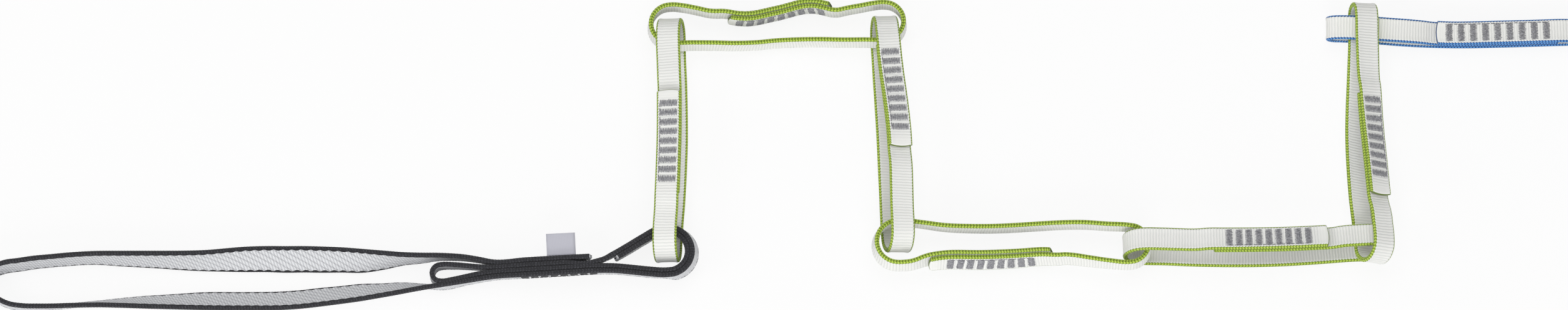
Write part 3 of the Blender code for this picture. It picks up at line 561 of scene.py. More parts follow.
def bar_middles(pack, count):
    """Middle of each bar of stitching along the strip."""
    return np.linspace(pack[0] + CAD_BAR_LENGTH / 2, pack[1] - CAD_BAR_LENGTH / 2, count)


def stitch_relief(along, pack):
    """How far a link's sewn face stands out at each distance: negative under bars."""
    middles = bar_middles(pack, LINK_BARS)
    start, end, pitch = middles[0], middles[-1], middles[1] - middles[0]
    wave = np.cos((along - start) / pitch * 2 * math.pi)
    inside = np.clip((along - start + pitch * PACK_MARGIN) / (pitch * PACK_FADE), 0, 1)
    inside *= np.clip((end + pitch * PACK_MARGIN - along) / (pitch * PACK_FADE), 0, 1)
    return inside * np.where(wave > 0, -STITCH_DENT * wave, -STITCH_PUFF * wave)


bars_of_link = bar_middles(strips["link_1"].packs["needle"], LINK_BARS)
print("the bars of link_1 stand every", round(np.diff(bars_of_link).mean() / MM, 2), "mm")

# %% [markdown]
# ## Cut ends
#
# Webbing is cut with a hot knife, which melts the end and rounds it. A bevel on a flat end would
# round it evenly. A melted end isn't even: the last millimetre thins, the corners draw back more
# than the middle, and the beads and ribs fade out towards the end.

# %% Round and thin the cut ends
MELT_LENGTH = 1.1 * MM
MELTED_SHARE = 0.35
CALM_LENGTH = 3.3 * MM
CORNER_DRAW = 0.9 * MM
END_STATIONS = (0.0, 0.06, 0.16, 0.32, 0.55, 0.85, 1.3)


def spaced(length, step):
    """Distances along a strip, close together at its melted ends."""
    ends = np.array(END_STATIONS) * MM
    count = int((length - 2 * ends[-1]) / step)
    middle = np.linspace(ends[-1], length - ends[-1], count)
    return np.concatenate([ends[:-1], middle, length - ends[-2::-1]])


def melted(from_end):
    """Share of the full thickness at a distance from a cut end."""
    t = np.clip(from_end / MELT_LENGTH, 0.0, 1.0)
    return MELTED_SHARE + (1 - MELTED_SHARE) * np.sqrt(1 - (1 - t) ** 2)


def drawn_back(along, length, x, half):
    """How far each corner moves along the strip, away from the nearest cut end."""
    start = np.clip(1 - along / CALM_LENGTH, 0, 1)
    end = np.clip(1 - (length - along) / CALM_LENGTH, 0, 1)
    return (start - end)[:, None] * CORNER_DRAW * (x / half) ** 2


print("cut ends melt over", MELT_LENGTH / MM, "mm")

# %% [markdown]
# ## A closed skin
#
# A strip could be a curve with a bevel, but then no ring could differ from the next. So it is a
# mesh: a ring of points at every station, and the rings joined into a closed skin. The mesh also
# carries a map of its own, which says how far along and how far round each point is. Two more
# values are kept for the finishes: how far a point is from a cut end, and how far across the
# strip.

# %% Join rings of points
def net_faces(rows, columns, closed=True):
    """Faces of a net of points. The last column of a closed one is joined to the first."""
    column = np.arange(columns if closed else columns - 1)
    first = np.arange(rows - 1)[:, None] * columns + column
    after = np.arange(rows - 1)[:, None] * columns + (column + 1) % columns
    return np.stack([first, after, after + columns, first + columns], axis=-1).reshape(-1, 4)


def point_value(mesh, name, values):
    """Keeps a number for each point of the mesh, which a material can read by its name."""
    kept = mesh.attributes.new(name, "FLOAT", "POINT")
    kept.data.foreach_set("value", values.astype(np.float32))


def woven_mesh(name, points, along, outline):
    """Joins rings of points into a closed strip and gives it its map and its two values."""
    stations, corners = points.shape[:2]
    around = round_section(outline)
    ends = [list(range(corners))[::-1], list(range((stations - 1) * corners, stations * corners))]
    faces = net_faces(stations, corners).tolist() + ends
    mesh = bpy.data.meshes.new(name)
    mesh.from_pydata(points.reshape(-1, 3).tolist(), [], faces)
    u = np.stack([along[:-1], along[:-1], along[1:], along[1:]], axis=-1)[:, None, :]
    v = np.stack([around[:-1], around[1:], around[1:], around[:-1]], axis=-1)[None]
    u, v = (np.broadcast_to(part, (stations - 1, corners, 4)).reshape(-1) for part in (u, v))
    end_u = np.repeat([along[0], along[-1]], corners)
    end_v = np.concatenate([around[:-1][::-1], around[:-1]])
    strip_map = np.stack([np.concatenate([u, end_u]), np.concatenate([v, end_v])], axis=1)
    mesh.uv_layers.new(name="strip").data.foreach_set("uv", strip_map.astype(np.float32).ravel())
    point_value(mesh, "from_end", np.repeat(np.minimum(along, along[-1] - along), corners))
    point_value(mesh, "across", np.tile(outline[:, 0], stations))
    mesh.shade_smooth()
    mesh.update()
    return placed(name, mesh)


print("a net of 3 rings of 4 points has", len(net_faces(3, 4)), "faces")

# %% [markdown]
# ## Weaving a strip
#
# Here the route, the section, the relief and the cut ends come together. The section is pushed
# out by the beads and ribs, thinned and drawn back at the cut ends, and pulled in under the bars
# on a link's sewn faces. The tether's webbing is a little fuller than its CAD strip.

# %% Sweep the webbing
LINK_STEP = BRAID_PITCH / 4
TETHER_STEP = BRAID_PITCH / 3
TETHER_FULLNESS = 1.08
SEWN_HALF = 0.40
SEWN_FADE = 0.8 * MM
FACE_STARTS = 0.25


def weave(name, strip, step, fullness=1.0):
    """Piece of woven webbing that follows a strip, with a ring of points at every step."""
    outline = webbing_section(strip.width, strip.thickness)
    along = spaced(strip.length, step)
    places, across, out = strip.at(along)
    forward = unit(np.cross(across, out))
    forward *= np.sign((forward * np.gradient(places, axis=0)).sum())
    from_end = np.minimum(along, strip.length - along)
    calm = np.clip(from_end / CALM_LENGTH, 0, 1)[:, None]
    way, relief = thread_relief(outline, along, strip.thickness)
    section = outline[None] + way[None] * (relief * calm)[..., None]
    x = section[..., 0]
    y = section[..., 1] * fullness * melted(from_end)[:, None]
    sewn_width = np.clip((strip.width * SEWN_HALF - np.abs(x)) / SEWN_FADE, 0, 1)
    for thread, pack in strip.packs.items():
        side = FACES[thread]
        # 1 on the sewn face and 0 on the other one
        on_side = np.clip(outline[None, :, 1] * side / (strip.thickness * FACE_STARTS), 0, 1)
        y = y + side * stitch_relief(along, pack)[:, None] * sewn_width * on_side
    moved = drawn_back(along, strip.length, x, strip.width / 2)
    points = places[:, None] + across[:, None] * x[..., None] + out[:, None] * y[..., None]
    points += forward[:, None] * moved[..., None]
    return woven_mesh(name, points, along, outline)


bands = {name: weave(f"{name}_band", strips[name], LINK_STEP) for name in LINKS}
bands["tether"] = weave("tether_band", strips["tether"], TETHER_STEP, TETHER_FULLNESS)
for name, band in bands.items():
    lowest = min(vertex.co.z for vertex in band.data.vertices)
    print(name, len(band.data.polygons), "faces, lowest point", round(lowest / MM, 2), "mm")

# %% [markdown]
# ## Patterns as formulas
#
# Every thread of a weave could be modelled, but at this size it would cost millions of faces. A
# material can draw the threads instead. The strip's own map says how far along and how far round
# the webbing each point is, in metres, and the pattern is a formula of those lengths. The nodes
# could be wired one by one, but then nobody could read the formula. So a small helper does it.

# %% Turn sums into nodes
class Sums:
    """A material under construction. Its sums take numbers and sockets alike."""

    def __init__(self, name, roughness):
        self.material = bpy.data.materials.new(name)
        self.material.use_nodes = True
        self.tree = self.material.node_tree
        self.shader = self.tree.nodes["Principled BSDF"]
        self.shader.inputs["Roughness"].default_value = roughness

    def feed(self, socket, value):
        """Links a socket to the input, or sets it to the number or colour."""
        if isinstance(value, bpy.types.NodeSocket):
            self.tree.links.new(value, socket)
        else:
            socket.default_value = value

    def maths(self, operation, first, second=0.0, third=0.0):
        """What one Math node makes of its inputs."""
        made = self.tree.nodes.new("ShaderNodeMath")
        made.operation = operation
        for socket, value in zip(made.inputs, (first, second, third)):
            self.feed(socket, value)
        return made.outputs[0]

    def times(self, first, second):
        return self.maths("MULTIPLY", first, second)

    def plus(self, first, second):
        return self.maths("ADD", first, second)

    def less(self, first, second):
        """The first less the second."""
        return self.maths("SUBTRACT", first, second)

    def leaning(self, value, slope, base):
        """The base, and slope times the value added to it."""
        return self.maths("MULTIPLY_ADD", value, slope, base)

    def between(self, value, low, high):
        """low where the value is 0, and high where it is 1."""
        return self.maths("MULTIPLY_ADD", value, high - low, low)


print("a material can now be written with", [name for name in vars(Sums) if name[0] != "_"])

# %% [markdown]
# ## Waves, patches and colours
#
# Three kinds of change make up the look of cloth: waves for the threads that repeat, soft steps
# where one thing gives way to another, and patches for what is never quite even. They end in a
# colour, and in a bump that shades the threads which are too fine to shape.

# %% Add waves, patches and colours
class Finish(Sums):
    """A material under construction, with all that woven cloth needs."""

    def ramp(self, value, start, end):
        """0 at start and 1 at end, with a smooth step between."""
        made = self.tree.nodes.new("ShaderNodeMapRange")
        made.interpolation_type = "SMOOTHSTEP"
        self.feed(made.inputs["Value"], value)
        made.inputs["From Min"].default_value = start
        made.inputs["From Max"].default_value = end
        return made.outputs["Result"]

    def wave(self, value, pitch):
        """Smooth wave from 0 to 1 with this pitch."""
        turns = self.times(value, 2 * math.pi / pitch)
        return self.between(self.maths("SINE", turns), 0.5, 1.0)

    def noise(self, scale, detail=2.0):
        """Patches from 0 to 1, about as many to the metre as the scale says."""
        place = self.tree.nodes.new("ShaderNodeTexCoord")
        made = self.tree.nodes.new("ShaderNodeTexNoise")
        self.tree.links.new(place.outputs["Object"], made.inputs["Vector"])
        made.inputs["Scale"].default_value = scale
        made.inputs["Detail"].default_value = detail
        return made.outputs["Fac"]

    def mix(self, share, first, second):
        """The first colour where the share is 0, and the second where it is 1."""
        made = self.tree.nodes.new("ShaderNodeMix")
        made.data_type = "RGBA"
        # Input 0 of this node is its share, and 6 and 7 are its colours. Output 2 is the mix.
        for place, value in ((0, share), (6, first), (7, second)):
            self.feed(made.inputs[place], (*value, 1.0) if isinstance(value, tuple) else value)
        return made.outputs[2]

    def finished(self, colour, height, distance):
        """The material with this colour, and a bump that is distance deep at height one."""
        self.tree.links.new(colour, self.shader.inputs["Base Color"])
        made = self.tree.nodes.new("ShaderNodeBump")
        made.inputs["Distance"].default_value = distance
        self.tree.links.new(height, made.inputs["Height"])
        self.tree.links.new(made.outputs[0], self.shader.inputs["Normal"])
        return self.material


def paint(red, green, blue):
    """A colour as it looks on screen, turned into the amounts of light that Blender mixes."""
    return tuple((level / 255) ** 2.2 for level in (red, green, blue))


WHITE = paint(243, 243, 239)
print("the links' white reflects", [round(level, 2) for level in WHITE], "of the light")

# %% [markdown]
# ## Where a point is on its strip
#
# Both kinds of webbing are drawn from the same four lengths: along the strip, across it, from the
# middle of the nearest edge, and from a cut end. A pattern could be laid out in space, but it
# would not follow the strip round its bends. So the material reads what the mesh carries.

# %% Read a point's place
def strip_map(finish):
    """(distance along the strip, distance round its section) from the strip's own map."""
    source = finish.tree.nodes.new("ShaderNodeUVMap")
    source.uv_map = "strip"
    split = finish.tree.nodes.new("ShaderNodeSeparateXYZ")
    finish.feed(split.inputs[0], source.outputs[0])
    return split.outputs[0], split.outputs[1]


def point_read(finish, name):
    """A value that the mesh keeps for each point."""
    made = finish.tree.nodes.new("ShaderNodeAttribute")
    made.attribute_name = name
    return made.outputs["Fac"]


def strip_lengths(finish, half_round):
    """Distances along, across, from the middle of the nearest edge, and from a cut end."""
    along, around = strip_map(finish)
    off_quarter = finish.less(finish.maths("ABSOLUTE", around), half_round / 2)
    from_edge = finish.maths("ABSOLUTE", off_quarter)
    return along, point_read(finish, "across"), from_edge, point_read(finish, "from_end")


print("the webbing's mesh carries",
      [name for name in bands["link_1"].data.attributes.keys() if name[0] != "."])

# %% [markdown]
# ## Braid and ribs
#
# Both kinds of webbing share two patterns: the beads and pinholes of a braided edge, and the ribs
# and slanting grain of a face. A picture of the weave would repeat and blur close up, but waves
# of the right lengths stay sharp. The ribs wander a little, as woven ones do.

# %% Draw the braid and the ribs
BEAD_ROW = 0.66 * MM
BEAD_RISE = (0.80 * MM, 0.25 * MM)
BEAD_ROUNDNESS = 0.7
PINHOLE_RISE = (0.26 * MM, 0.08 * MM)
PINHOLE_WAVE = (0.45, 0.10)
RIB_WANDER = 0.07 * MM
RIB_WANDER_PITCH = 3.1 * MM
DIP_SHARPNESS = 2.0
GRAIN_PITCH = 0.42 * MM
GRAIN_SLOPE = 0.5


def braid_pattern(finish, along, from_edge):
    """(height of the beads from 0 to 1, pinholes from 0 to 1) of a braided edge."""
    slanted = finish.leaning(from_edge, BEAD_SLANT, along)
    stitches = finish.maths("POWER", finish.wave(slanted, BRAID_PITCH), BEAD_ROUNDNESS)
    off_row = finish.maths("ABSOLUTE", finish.less(from_edge, BEAD_ROW))
    beads = finish.times(stitches, finish.ramp(off_row, *BEAD_RISE))
    pinholes = finish.times(finish.ramp(from_edge, *PINHOLE_RISE),
                            finish.ramp(finish.wave(along, BRAID_PITCH), *PINHOLE_WAVE))
    return beads, pinholes


def face_pattern(finish, along, across):
    """(dips between the ribs, slanting grain), each from 0 to 1."""
    wavy = finish.leaning(finish.wave(across, RIB_WANDER_PITCH), RIB_WANDER, along)
    dips = finish.maths("POWER", finish.less(1.0, finish.wave(wavy, RIB_PITCH)), DIP_SHARPNESS)
    grain = finish.wave(finish.leaning(along, GRAIN_SLOPE, across), GRAIN_PITCH)
    return dips, grain


print("ribs every", RIB_PITCH / MM, "mm, grain every", GRAIN_PITCH / MM, "mm")

# %% [markdown]
# ## The links' colours
#
# The face of a link is nearly white: low ribs run across it, with fine slanting threads in the
# dips between them, and painted shade darkens the dips. Each edge is a coloured braid of two
# rows of beads, with a row of pinholes along its middle that painted shade darkens. A single
# green or blue would look like plastic. So each bead gets painted shade at its foot and a
# painted highlight on top, and a noise makes the painted highlight stronger on some beads than
# on others.

# %% Colour the face and the braid
# A white darkened by painted shade, for the dips between the ribs.
SHADED_WHITE = paint(192, 195, 193)
# How much of the painted shade shows in a dip, without and with grain, and at a cut end and on the
# woven face.
DIP_SHADE, WOVEN_SHADE = (0.95, 0.30), (0.10, 0.60)
# Ramps for the painted shade at a bead's foot and the painted highlight on its top, and how
# unevenly the painted highlight reaches across the beads.
BEAD_BODY, BEAD_LIGHT, BEAD_HIGHLIGHT_SPREAD = (0.05, 0.55), (0.55, 0.95), (0.55, 1.35)
# Size of the patches in which beads get more of the painted highlight, as patches per metre.
CLOUD_SCALE = 900.0
# The pinholes are painted shade: the braid's dark tone at this share of its brightness.
PINHOLE_DARKNESS = 0.45


def white_face(finish, dips, grain, woven):
    """White threads with painted shade in the dips, and plain where the ribs have faded."""
    shown = finish.times(dips, finish.between(grain, *DIP_SHADE))
    shown = finish.times(shown, finish.between(woven, *WOVEN_SHADE))
    return finish.mix(shown, WHITE, SHADED_WHITE)


def coloured_braid(finish, beads, pinholes, shades):
    """Beads with painted shade at their feet and a painted highlight, in patches, on top."""
    light, middle, dark = shades
    # Painted shade at the feet of the beads, and a painted highlight on their tops that a noise
    # makes stronger on some beads.
    highlight_reach = finish.times(beads, finish.between(finish.noise(CLOUD_SCALE), *BEAD_HIGHLIGHT_SPREAD))
    braid = finish.mix(finish.ramp(beads, *BEAD_BODY), dark, middle)
    braid = finish.mix(finish.ramp(highlight_reach, *BEAD_LIGHT), braid, light)
    # Painted shade in the pinholes.
    return finish.mix(pinholes, braid, tuple(level * PINHOLE_DARKNESS for level in dark))


print("a gap in the white reflects", [round(level, 2) for level in SHADED_WHITE], "of the light")

# %% [markdown]
# ## The links' webbing
#
# Where the braid meets the face, the white threads bite into the colour in small scallops.
# Towards a cut end the ribs fade, and the very end of the melted tip is a dark line of painted
# shadow, as where a cut end meets the layer under it. Green and blue webbing could be two
# materials made apart, but they are woven alike. So one function makes both, from three shades
# of the braid. Its bump follows the same pattern as its colour.

# %% Finish the links' webbing
# Three tones of each braid: the light one is a painted highlight on the tops of the beads, and the
# dark one is painted shade at their feet, in the pinholes and at the very cut ends.
GREENS = (paint(190, 212, 92), paint(162, 190, 64), paint(112, 136, 34))
BLUES = (paint(110, 168, 226), paint(64, 128, 200), paint(28, 76, 138))
SCALLOP = 0.26 * MM
BORDER = 1.52 * MM
BORDER_RISE = (BORDER - 0.04 * MM, BORDER + 0.08 * MM)
RIBS_RISE = (3.0 * MM, 6.0 * MM)
TIP_RISE = (0.34 * MM, 0.20 * MM)
# The very tip is painted shadow: the braid's dark tone at this share, with a little haze added.
TIP_SHADOW_DARKNESS, TIP_SHADOW_HAZE = 0.7, 0.03
GRAIN_HEIGHT, KNOT_HEIGHT, FUZZ_HEIGHT = 0.25, 1.5, 0.25
FUZZ_SCALE, FUZZ_DETAIL = 5200.0, 3.0
LINK_BUMP = 0.10 * MM
LINK_ROUGHNESS, SHEEN = 0.80, 0.15


def link_webbing(name, half_round, shades):
    """Finish of a white strip with coloured braided edges."""
    finish = Finish(name, LINK_ROUGHNESS)
    along, across, from_edge, from_end = strip_lengths(finish, half_round)
    scallop = finish.times(finish.wave(along, BRAID_PITCH), SCALLOP)
    face = finish.ramp(finish.plus(from_edge, scallop), *BORDER_RISE)
    woven = finish.ramp(from_end, *RIBS_RISE)
    dips, grain = face_pattern(finish, along, across)
    beads, pinholes = braid_pattern(finish, along, from_edge)

    colour = finish.mix(face, coloured_braid(finish, beads, pinholes, shades),
                        white_face(finish, dips, grain, woven))
    # Painted shadow along the very end, where a cut end meets the layer under it.
    tip_shadow = tuple(level * TIP_SHADOW_DARKNESS + TIP_SHADOW_HAZE for level in shades[-1])
    colour = finish.mix(finish.ramp(from_end, *TIP_RISE), colour, tip_shadow)

    ridges = finish.leaning(grain, GRAIN_HEIGHT, finish.less(1.0, dips))
    ridges = finish.times(finish.times(ridges, face), woven)
    knots = finish.times(beads, finish.between(face, KNOT_HEIGHT, 0.0))
    fuzz = finish.times(finish.noise(FUZZ_SCALE, FUZZ_DETAIL), FUZZ_HEIGHT)
    height = finish.plus(finish.plus(ridges, finish.less(knots, pinholes)), fuzz)
    finish.shader.inputs["Sheen Weight"].default_value = SHEEN
    return finish.finished(colour, height, LINK_BUMP)


green_webbing = link_webbing("green_edged_webbing", half_way_round(strips["link_1"]), GREENS)
blue_webbing = link_webbing("blue_edged_webbing", half_way_round(strips["end_link"]), BLUES)
print("finished", green_webbing.name, "and", blue_webbing.name)

# %% [markdown]
# ## The tether's webbing
#
# The tether is wider and darker: black braided edges, and a light grey face with slanting rows of
# small dark dashes. The border between them waves in scallops three times as long as on the
# links. Black thread shows its weave only by small glints, so a plain black would look like
# rubber. The black is broken up by painted highlights: a noise lets only some of the beads have a
# lighter colour. The grey face gets painted shade in the dips between its ribs.

# %% Finish the tether's webbing
# The second grey is painted shade for the dips between the ribs.
GREY, SHADED_GREY, DASH = paint(236, 237, 239), paint(200, 201, 205), paint(116, 116, 123)
# GLINT is the colour of the painted highlights on the black beads.
BLACK, GLINT, MELTED_GREY = paint(36, 36, 40), paint(84, 84, 90), paint(196, 196, 200)
TETHER_SCALLOP = 4.2 * MM
SCALLOP_DEPTH = 0.55 * MM
SCALLOP_SHARPNESS = 1.5
TETHER_BORDER_RISE = (2.20 * MM, 2.34 * MM)
TETHER_TIP_RISE = (0.5 * MM, 0.2 * MM)
TWILL_SLOPE, DASH_SLOPE, RIB_SLOPE = 1.64, -0.4, 0.3
DASH_PITCH = 0.62 * MM
DASH_ROWS, DASH_STEPS = (0.62, 0.92), (0.55, 0.85)
GRAIN_SHADE, DASH_SHADE = 0.35, 0.7
GLINT_SCALE, TETHER_FUZZ_SCALE = 2200.0, 4200.0
GLINT_RISE = (0.30, 0.80)
TETHER_KNOT_HEIGHT, TETHER_FUZZ_HEIGHT = 1.4, 0.8
TETHER_BUMP = 0.12 * MM
TETHER_ROUGHNESS = 0.85


def tether_webbing(name, half_round):
    """Finish of the grey strip with black braided edges."""
    finish = Finish(name, TETHER_ROUGHNESS)
    along, across, from_edge, from_end = strip_lengths(finish, half_round)
    teeth = finish.maths("POWER", finish.wave(along, TETHER_SCALLOP), SCALLOP_SHARPNESS)
    scallop = finish.times(teeth, SCALLOP_DEPTH)
    face = finish.ramp(finish.plus(from_edge, scallop), *TETHER_BORDER_RISE)

    rows = finish.wave(finish.leaning(across, TWILL_SLOPE, along), TETHER_SCALLOP)
    steps = finish.wave(finish.leaning(along, DASH_SLOPE, across), DASH_PITCH)
    dashes = finish.times(finish.ramp(rows, *DASH_ROWS), finish.ramp(steps, *DASH_STEPS))
    dips, grain = face_pattern(finish, finish.leaning(across, RIB_SLOPE, along), across)
    # Painted shade in the dips between the ribs and along the slanting grain.
    grey = finish.mix(finish.leaning(grain, GRAIN_SHADE, dips), GREY, SHADED_GREY)
    grey = finish.mix(finish.times(dashes, DASH_SHADE), grey, DASH)

    beads, _ = braid_pattern(finish, along, from_edge)
    # Painted highlights on some of the black beads.
    glints = finish.times(beads, finish.ramp(finish.noise(GLINT_SCALE), *GLINT_RISE))
    colour = finish.mix(face, finish.mix(glints, BLACK, GLINT), grey)
    colour = finish.mix(finish.ramp(from_end, *TETHER_TIP_RISE), colour, MELTED_GREY)

    ridges = finish.less(finish.less(1.0, dips), dashes)
    knots = finish.times(beads, finish.between(face, TETHER_KNOT_HEIGHT, 0.0))
    fuzz = finish.times(finish.noise(TETHER_FUZZ_SCALE, FUZZ_DETAIL), TETHER_FUZZ_HEIGHT)
    height = finish.plus(finish.plus(finish.times(ridges, face), knots), fuzz)
    finish.shader.inputs["Sheen Weight"].default_value = SHEEN
    return finish.finished(colour, height, TETHER_BUMP)


grey_webbing = tether_webbing("black_edged_webbing", half_way_round(strips["tether"]))
print("finished", grey_webbing.name)

# %% [markdown]
# ## Dressing the loops
#
# Each woven piece moves with the CAD body that it belongs to, and stands for the CAD webbing,
# which is then hidden. The CAD strip could be kept and given the new finish, but its flat sides
# and sharp edges would still show.

# %% Put the webbing on the chain
LOOKS = {"tether": grey_webbing, "end_link": blue_webbing}
for name, band in bands.items():
    band.data.materials.append(LOOKS.get(name, green_webbing))
    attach(band, name)
    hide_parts(f"{name}_webbing")
print("webbing dressed:", list(bands))

# %% [markdown]
# ## The bars of stitching
#
# A bar is sewn by a machine whose needle swings to and fro while the strap creeps sideways. The
# thread lies on the face in dense zigzag strokes and dives into the webbing at both ends of each
# stroke. The strokes nearly touch in the middle of a bar and leave saw teeth at its two ends, and
# a line of plain stitches joins the bars along one edge. A striped material would be quicker, but
# its bars would lie flat. Here every thread is a path over the face, with a little chance in it.

# %% Sew a bar of zigzag
THREAD_RADIUS = 0.17 * MM
BAR_REACH = 3.8 * MM
LINK_BAR_HALF = 4.0 * MM
STROKE_STEP = 0.38 * MM
STROKE_JITTER = (0.04 * MM, 0.10 * MM)
STROKE = ((0.0, -0.45), (0.10, -0.06), (0.5, 0.0), (0.90, -0.06))
PLAIN_STITCH = ((0.0, -0.4), (0.2, 0.06), (0.8, 0.06))
PLAIN_STITCH_LENGTH = 2.1 * MM


def stitched(along, across, stitch):
    """Path from hole to hole as (along, across, height above the face) rows.

    A stitch is a list of (share of the way to the next hole, height in millimetres) pairs.
    """
    rows = []
    for index in range(len(along) - 1):
        for share, height in stitch:
            rows.append((
                along[index] * (1 - share) + along[index + 1] * share,
                across[index] * (1 - share) + across[index + 1] * share,
                height * MM,
            ))
    rows.append((along[-1], across[-1], stitch[0][1] * MM))
    return np.array(rows)


def zigzag(middle, half_width, chance):
    """Path of one bar, which runs across the strip."""
    count = int(2 * half_width / STROKE_STEP)
    jitter = chance.normal(0.0, 1.0, (count + 1, 2)) * STROKE_JITTER
    across = np.linspace(-half_width, half_width, count + 1) + jitter[:, 0]
    ways = np.where(np.arange(count + 1) % 2, 1.0, -1.0)
    along = middle + ways * (BAR_REACH / 2 - THREAD_RADIUS) + jitter[:, 1]
    return stitched(along, across, STROKE)


def plain_line(start, end, across):
    """Path of a line of plain stitches, which runs along the strip."""
    count = max(int(round((end - start) / PLAIN_STITCH_LENGTH)), 1)
    return stitched(np.linspace(start, end, count + 1), [across] * (count + 1), PLAIN_STITCH)


print("a bar takes", len(zigzag(0.0, LINK_BAR_HALF, np.random.default_rng(1))), "points")

# %% [markdown]
# ## Threads as tubes
#
# The paths are drawn flat, as if the strip were a straight ribbon. They are laid on the strip's
# route afterwards, and each becomes a thin tube. Curves with a bevel would do the same, but as
# meshes all the threads of one pack join into one object. It has two materials: one for the bars
# and one for the plain line.

# %% Turn paths into threads
TUBE_SIDES = 5


def on_face(strip, rows, side):
    """World points of a path drawn on one face of the strip, with the way out there."""
    places, across, out = strip.at(rows[:, 0])
    lift = side * (strip.thickness / 2 + rows[:, 2])
    return places + across * rows[:, 1:2] + out * lift[:, None], out * side


def tube(points, out):
    """Vertices and faces of a thread along the points."""
    tangents = unit(np.gradient(points, axis=0))
    beside = unit(np.cross(tangents, out))
    over = np.cross(beside, tangents)
    turns = (np.arange(TUBE_SIDES) * 2 * math.pi / TUBE_SIDES)[None, :, None]
    ring = beside[:, None] * np.cos(turns) + over[:, None] * np.sin(turns)
    vertices = (points[:, None] + ring * THREAD_RADIUS).reshape(-1, 3)
    # This ring turns the other way round from the webbing's, so its faces are turned over.
    outwards = net_faces(len(points), TUBE_SIDES)[:, [0, 3, 2, 1]]
    last = (len(points) - 1) * TUBE_SIDES
    ends = [list(range(TUBE_SIDES)), list(range(last, last + TUBE_SIDES))[::-1]]
    return vertices, outwards.tolist() + ends


def sewn(name, bars, line, looks):
    """One object from the bars, in the first look, and the plain line, in the second."""
    vertices, faces, picks = [], [], []
    for pick, path in [(0, bar) for bar in bars] + [(1, line)]:
        more, quads = tube(*path)
        faces += [[corner + len(vertices) for corner in quad] for quad in quads]
        picks += [pick] * len(quads)
        vertices += more.tolist()
    mesh = bpy.data.meshes.new(name)
    mesh.from_pydata(vertices, [], faces)
    for look in looks:
        mesh.materials.append(look)
    mesh.polygons.foreach_set("material_index", picks)
    mesh.shade_smooth()
    return placed(name, mesh)


print("a thread is", 2 * THREAD_RADIUS / MM, "mm thick, with", TUBE_SIDES, "sides")

# %% [markdown]
# ## The links' stitching
#
# The links are sewn with grey thread in packs of nine bars. The needle thread makes the bars of
# the outer face, and the bobbin thread makes those of the inner one. Thread is never one even
# grey, so a noise mixes two shades of it. The plain line lies along the edge that the photograph
# shows it on, and where no link says otherwise that is the upper one.

# %% Sew the links
LINE_INSET = 0.1 * MM
LINE_TOWARDS = {"link_1": (-1, 0, 0), "link_6": (1, 0, 0), "end_link": (0, 1, 0)}
THREAD_CLOUD_SCALE, THREAD_FUZZ_SCALE = 1500.0, 6000.0
THREAD_CLOUDS = (0.3, 0.7)
THREAD_BUMP = 0.05 * MM
THREAD_ROUGHNESS = 0.55
# All bars draw from one stream of chance, so that every run sews the same ones.
chance = np.random.default_rng(7)


def thread_finish(name, colour, gap):
    """Finish of a thread with a shade for the gaps between its strands."""
    finish = Finish(name, THREAD_ROUGHNESS)
    clouds = finish.ramp(finish.noise(THREAD_CLOUD_SCALE), *THREAD_CLOUDS)
    fuzz = finish.noise(THREAD_FUZZ_SCALE)
    return finish.finished(finish.mix(clouds, gap, colour), fuzz, THREAD_BUMP)


def sew_pack(name, strip, pack, side, count, half_width, line_side, looks):
    """The bars of one pack on one face, with their plain line."""
    middles = bar_middles(pack, count)
    bars = [on_face(strip, zigzag(middle, half_width, chance), side) for middle in middles]
    line = plain_line(middles[0], middles[-1], line_side * (half_width - LINE_INSET))
    return sewn(name, bars, on_face(strip, line, side), looks)


grey_thread = thread_finish("grey_thread", paint(176, 176, 180), paint(124, 124, 130))
dark_thread = thread_finish("dark_grey_thread", paint(128, 128, 134), paint(88, 88, 94))
for name in LINKS:
    strip = strips[name]
    for thread, side in FACES.items():
        pack = strip.packs[thread]
        _, across, _ = strip.at(np.array([sum(pack) / 2]))
        line_side = 1 if across[0] @ np.array(LINE_TOWARDS.get(name, (0, 0, 1))) > 0 else -1
        stitching = sew_pack(f"{name}_{thread}_bars", strip, pack, side, LINK_BARS, LINK_BAR_HALF,
                             line_side, (grey_thread, dark_thread))
        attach(stitching, name)
        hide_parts(f"{name}_{thread}_thread")
print("bars sewn on", len(LINKS), "links, both faces")

# %% [markdown]
# ## The tether's stitching
#
# The tether's four layers are sewn through with black thread, in a long pack of eight bars on one
# side and a short pack of four on the other. The strip passes there four times, so the CAD thread
# has to say which turn of the strip each pack lies on, and on which face.

# %% Sew the tether
TETHER_BAR_HALF = 4.8 * MM
TETHER_BARS = {"needle": 8, "bobbin": 4}
black_thread = thread_finish("black_thread", paint(58, 58, 62), paint(34, 34, 36))
strip = strips["tether"]
for thread, count in TETHER_BARS.items():
    points = node_points(f"tether_{thread}_thread")
    along, _ = nearest_along(strip, points, 0.0, strip.length)
    pack = (float(along.min()), float(along.max()))
    places, _, out = strip.at(along)
    side = 1 if ((points - places) * out).sum() > 0 else -1
    stitching = sew_pack(f"tether_{thread}_bars", strip, pack, side, count, TETHER_BAR_HALF, 1,
                         (black_thread, black_thread))
    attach(stitching, "tether")
    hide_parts(f"tether_{thread}_thread")
    print("tether", thread, "pack from", in_mm(pack))

# %% [markdown]
# ## The tab
#
# A small tab of woven ribbon is caught in the tether's upper edge. It is one short ribbon folded
# in two, with its fold at the free end. Cloth simulation could fold it, but so small and stiff a
# fold comes out cleaner when its path is drawn: out along the lower layer, round, and back. The
# CAD tab gives the slope that it lies at.

# %% Draw the tab's path
TAB_LAYER_GAP = 0.34 * MM
LAYER_POINTS = 14
FOLD_POINTS = 7


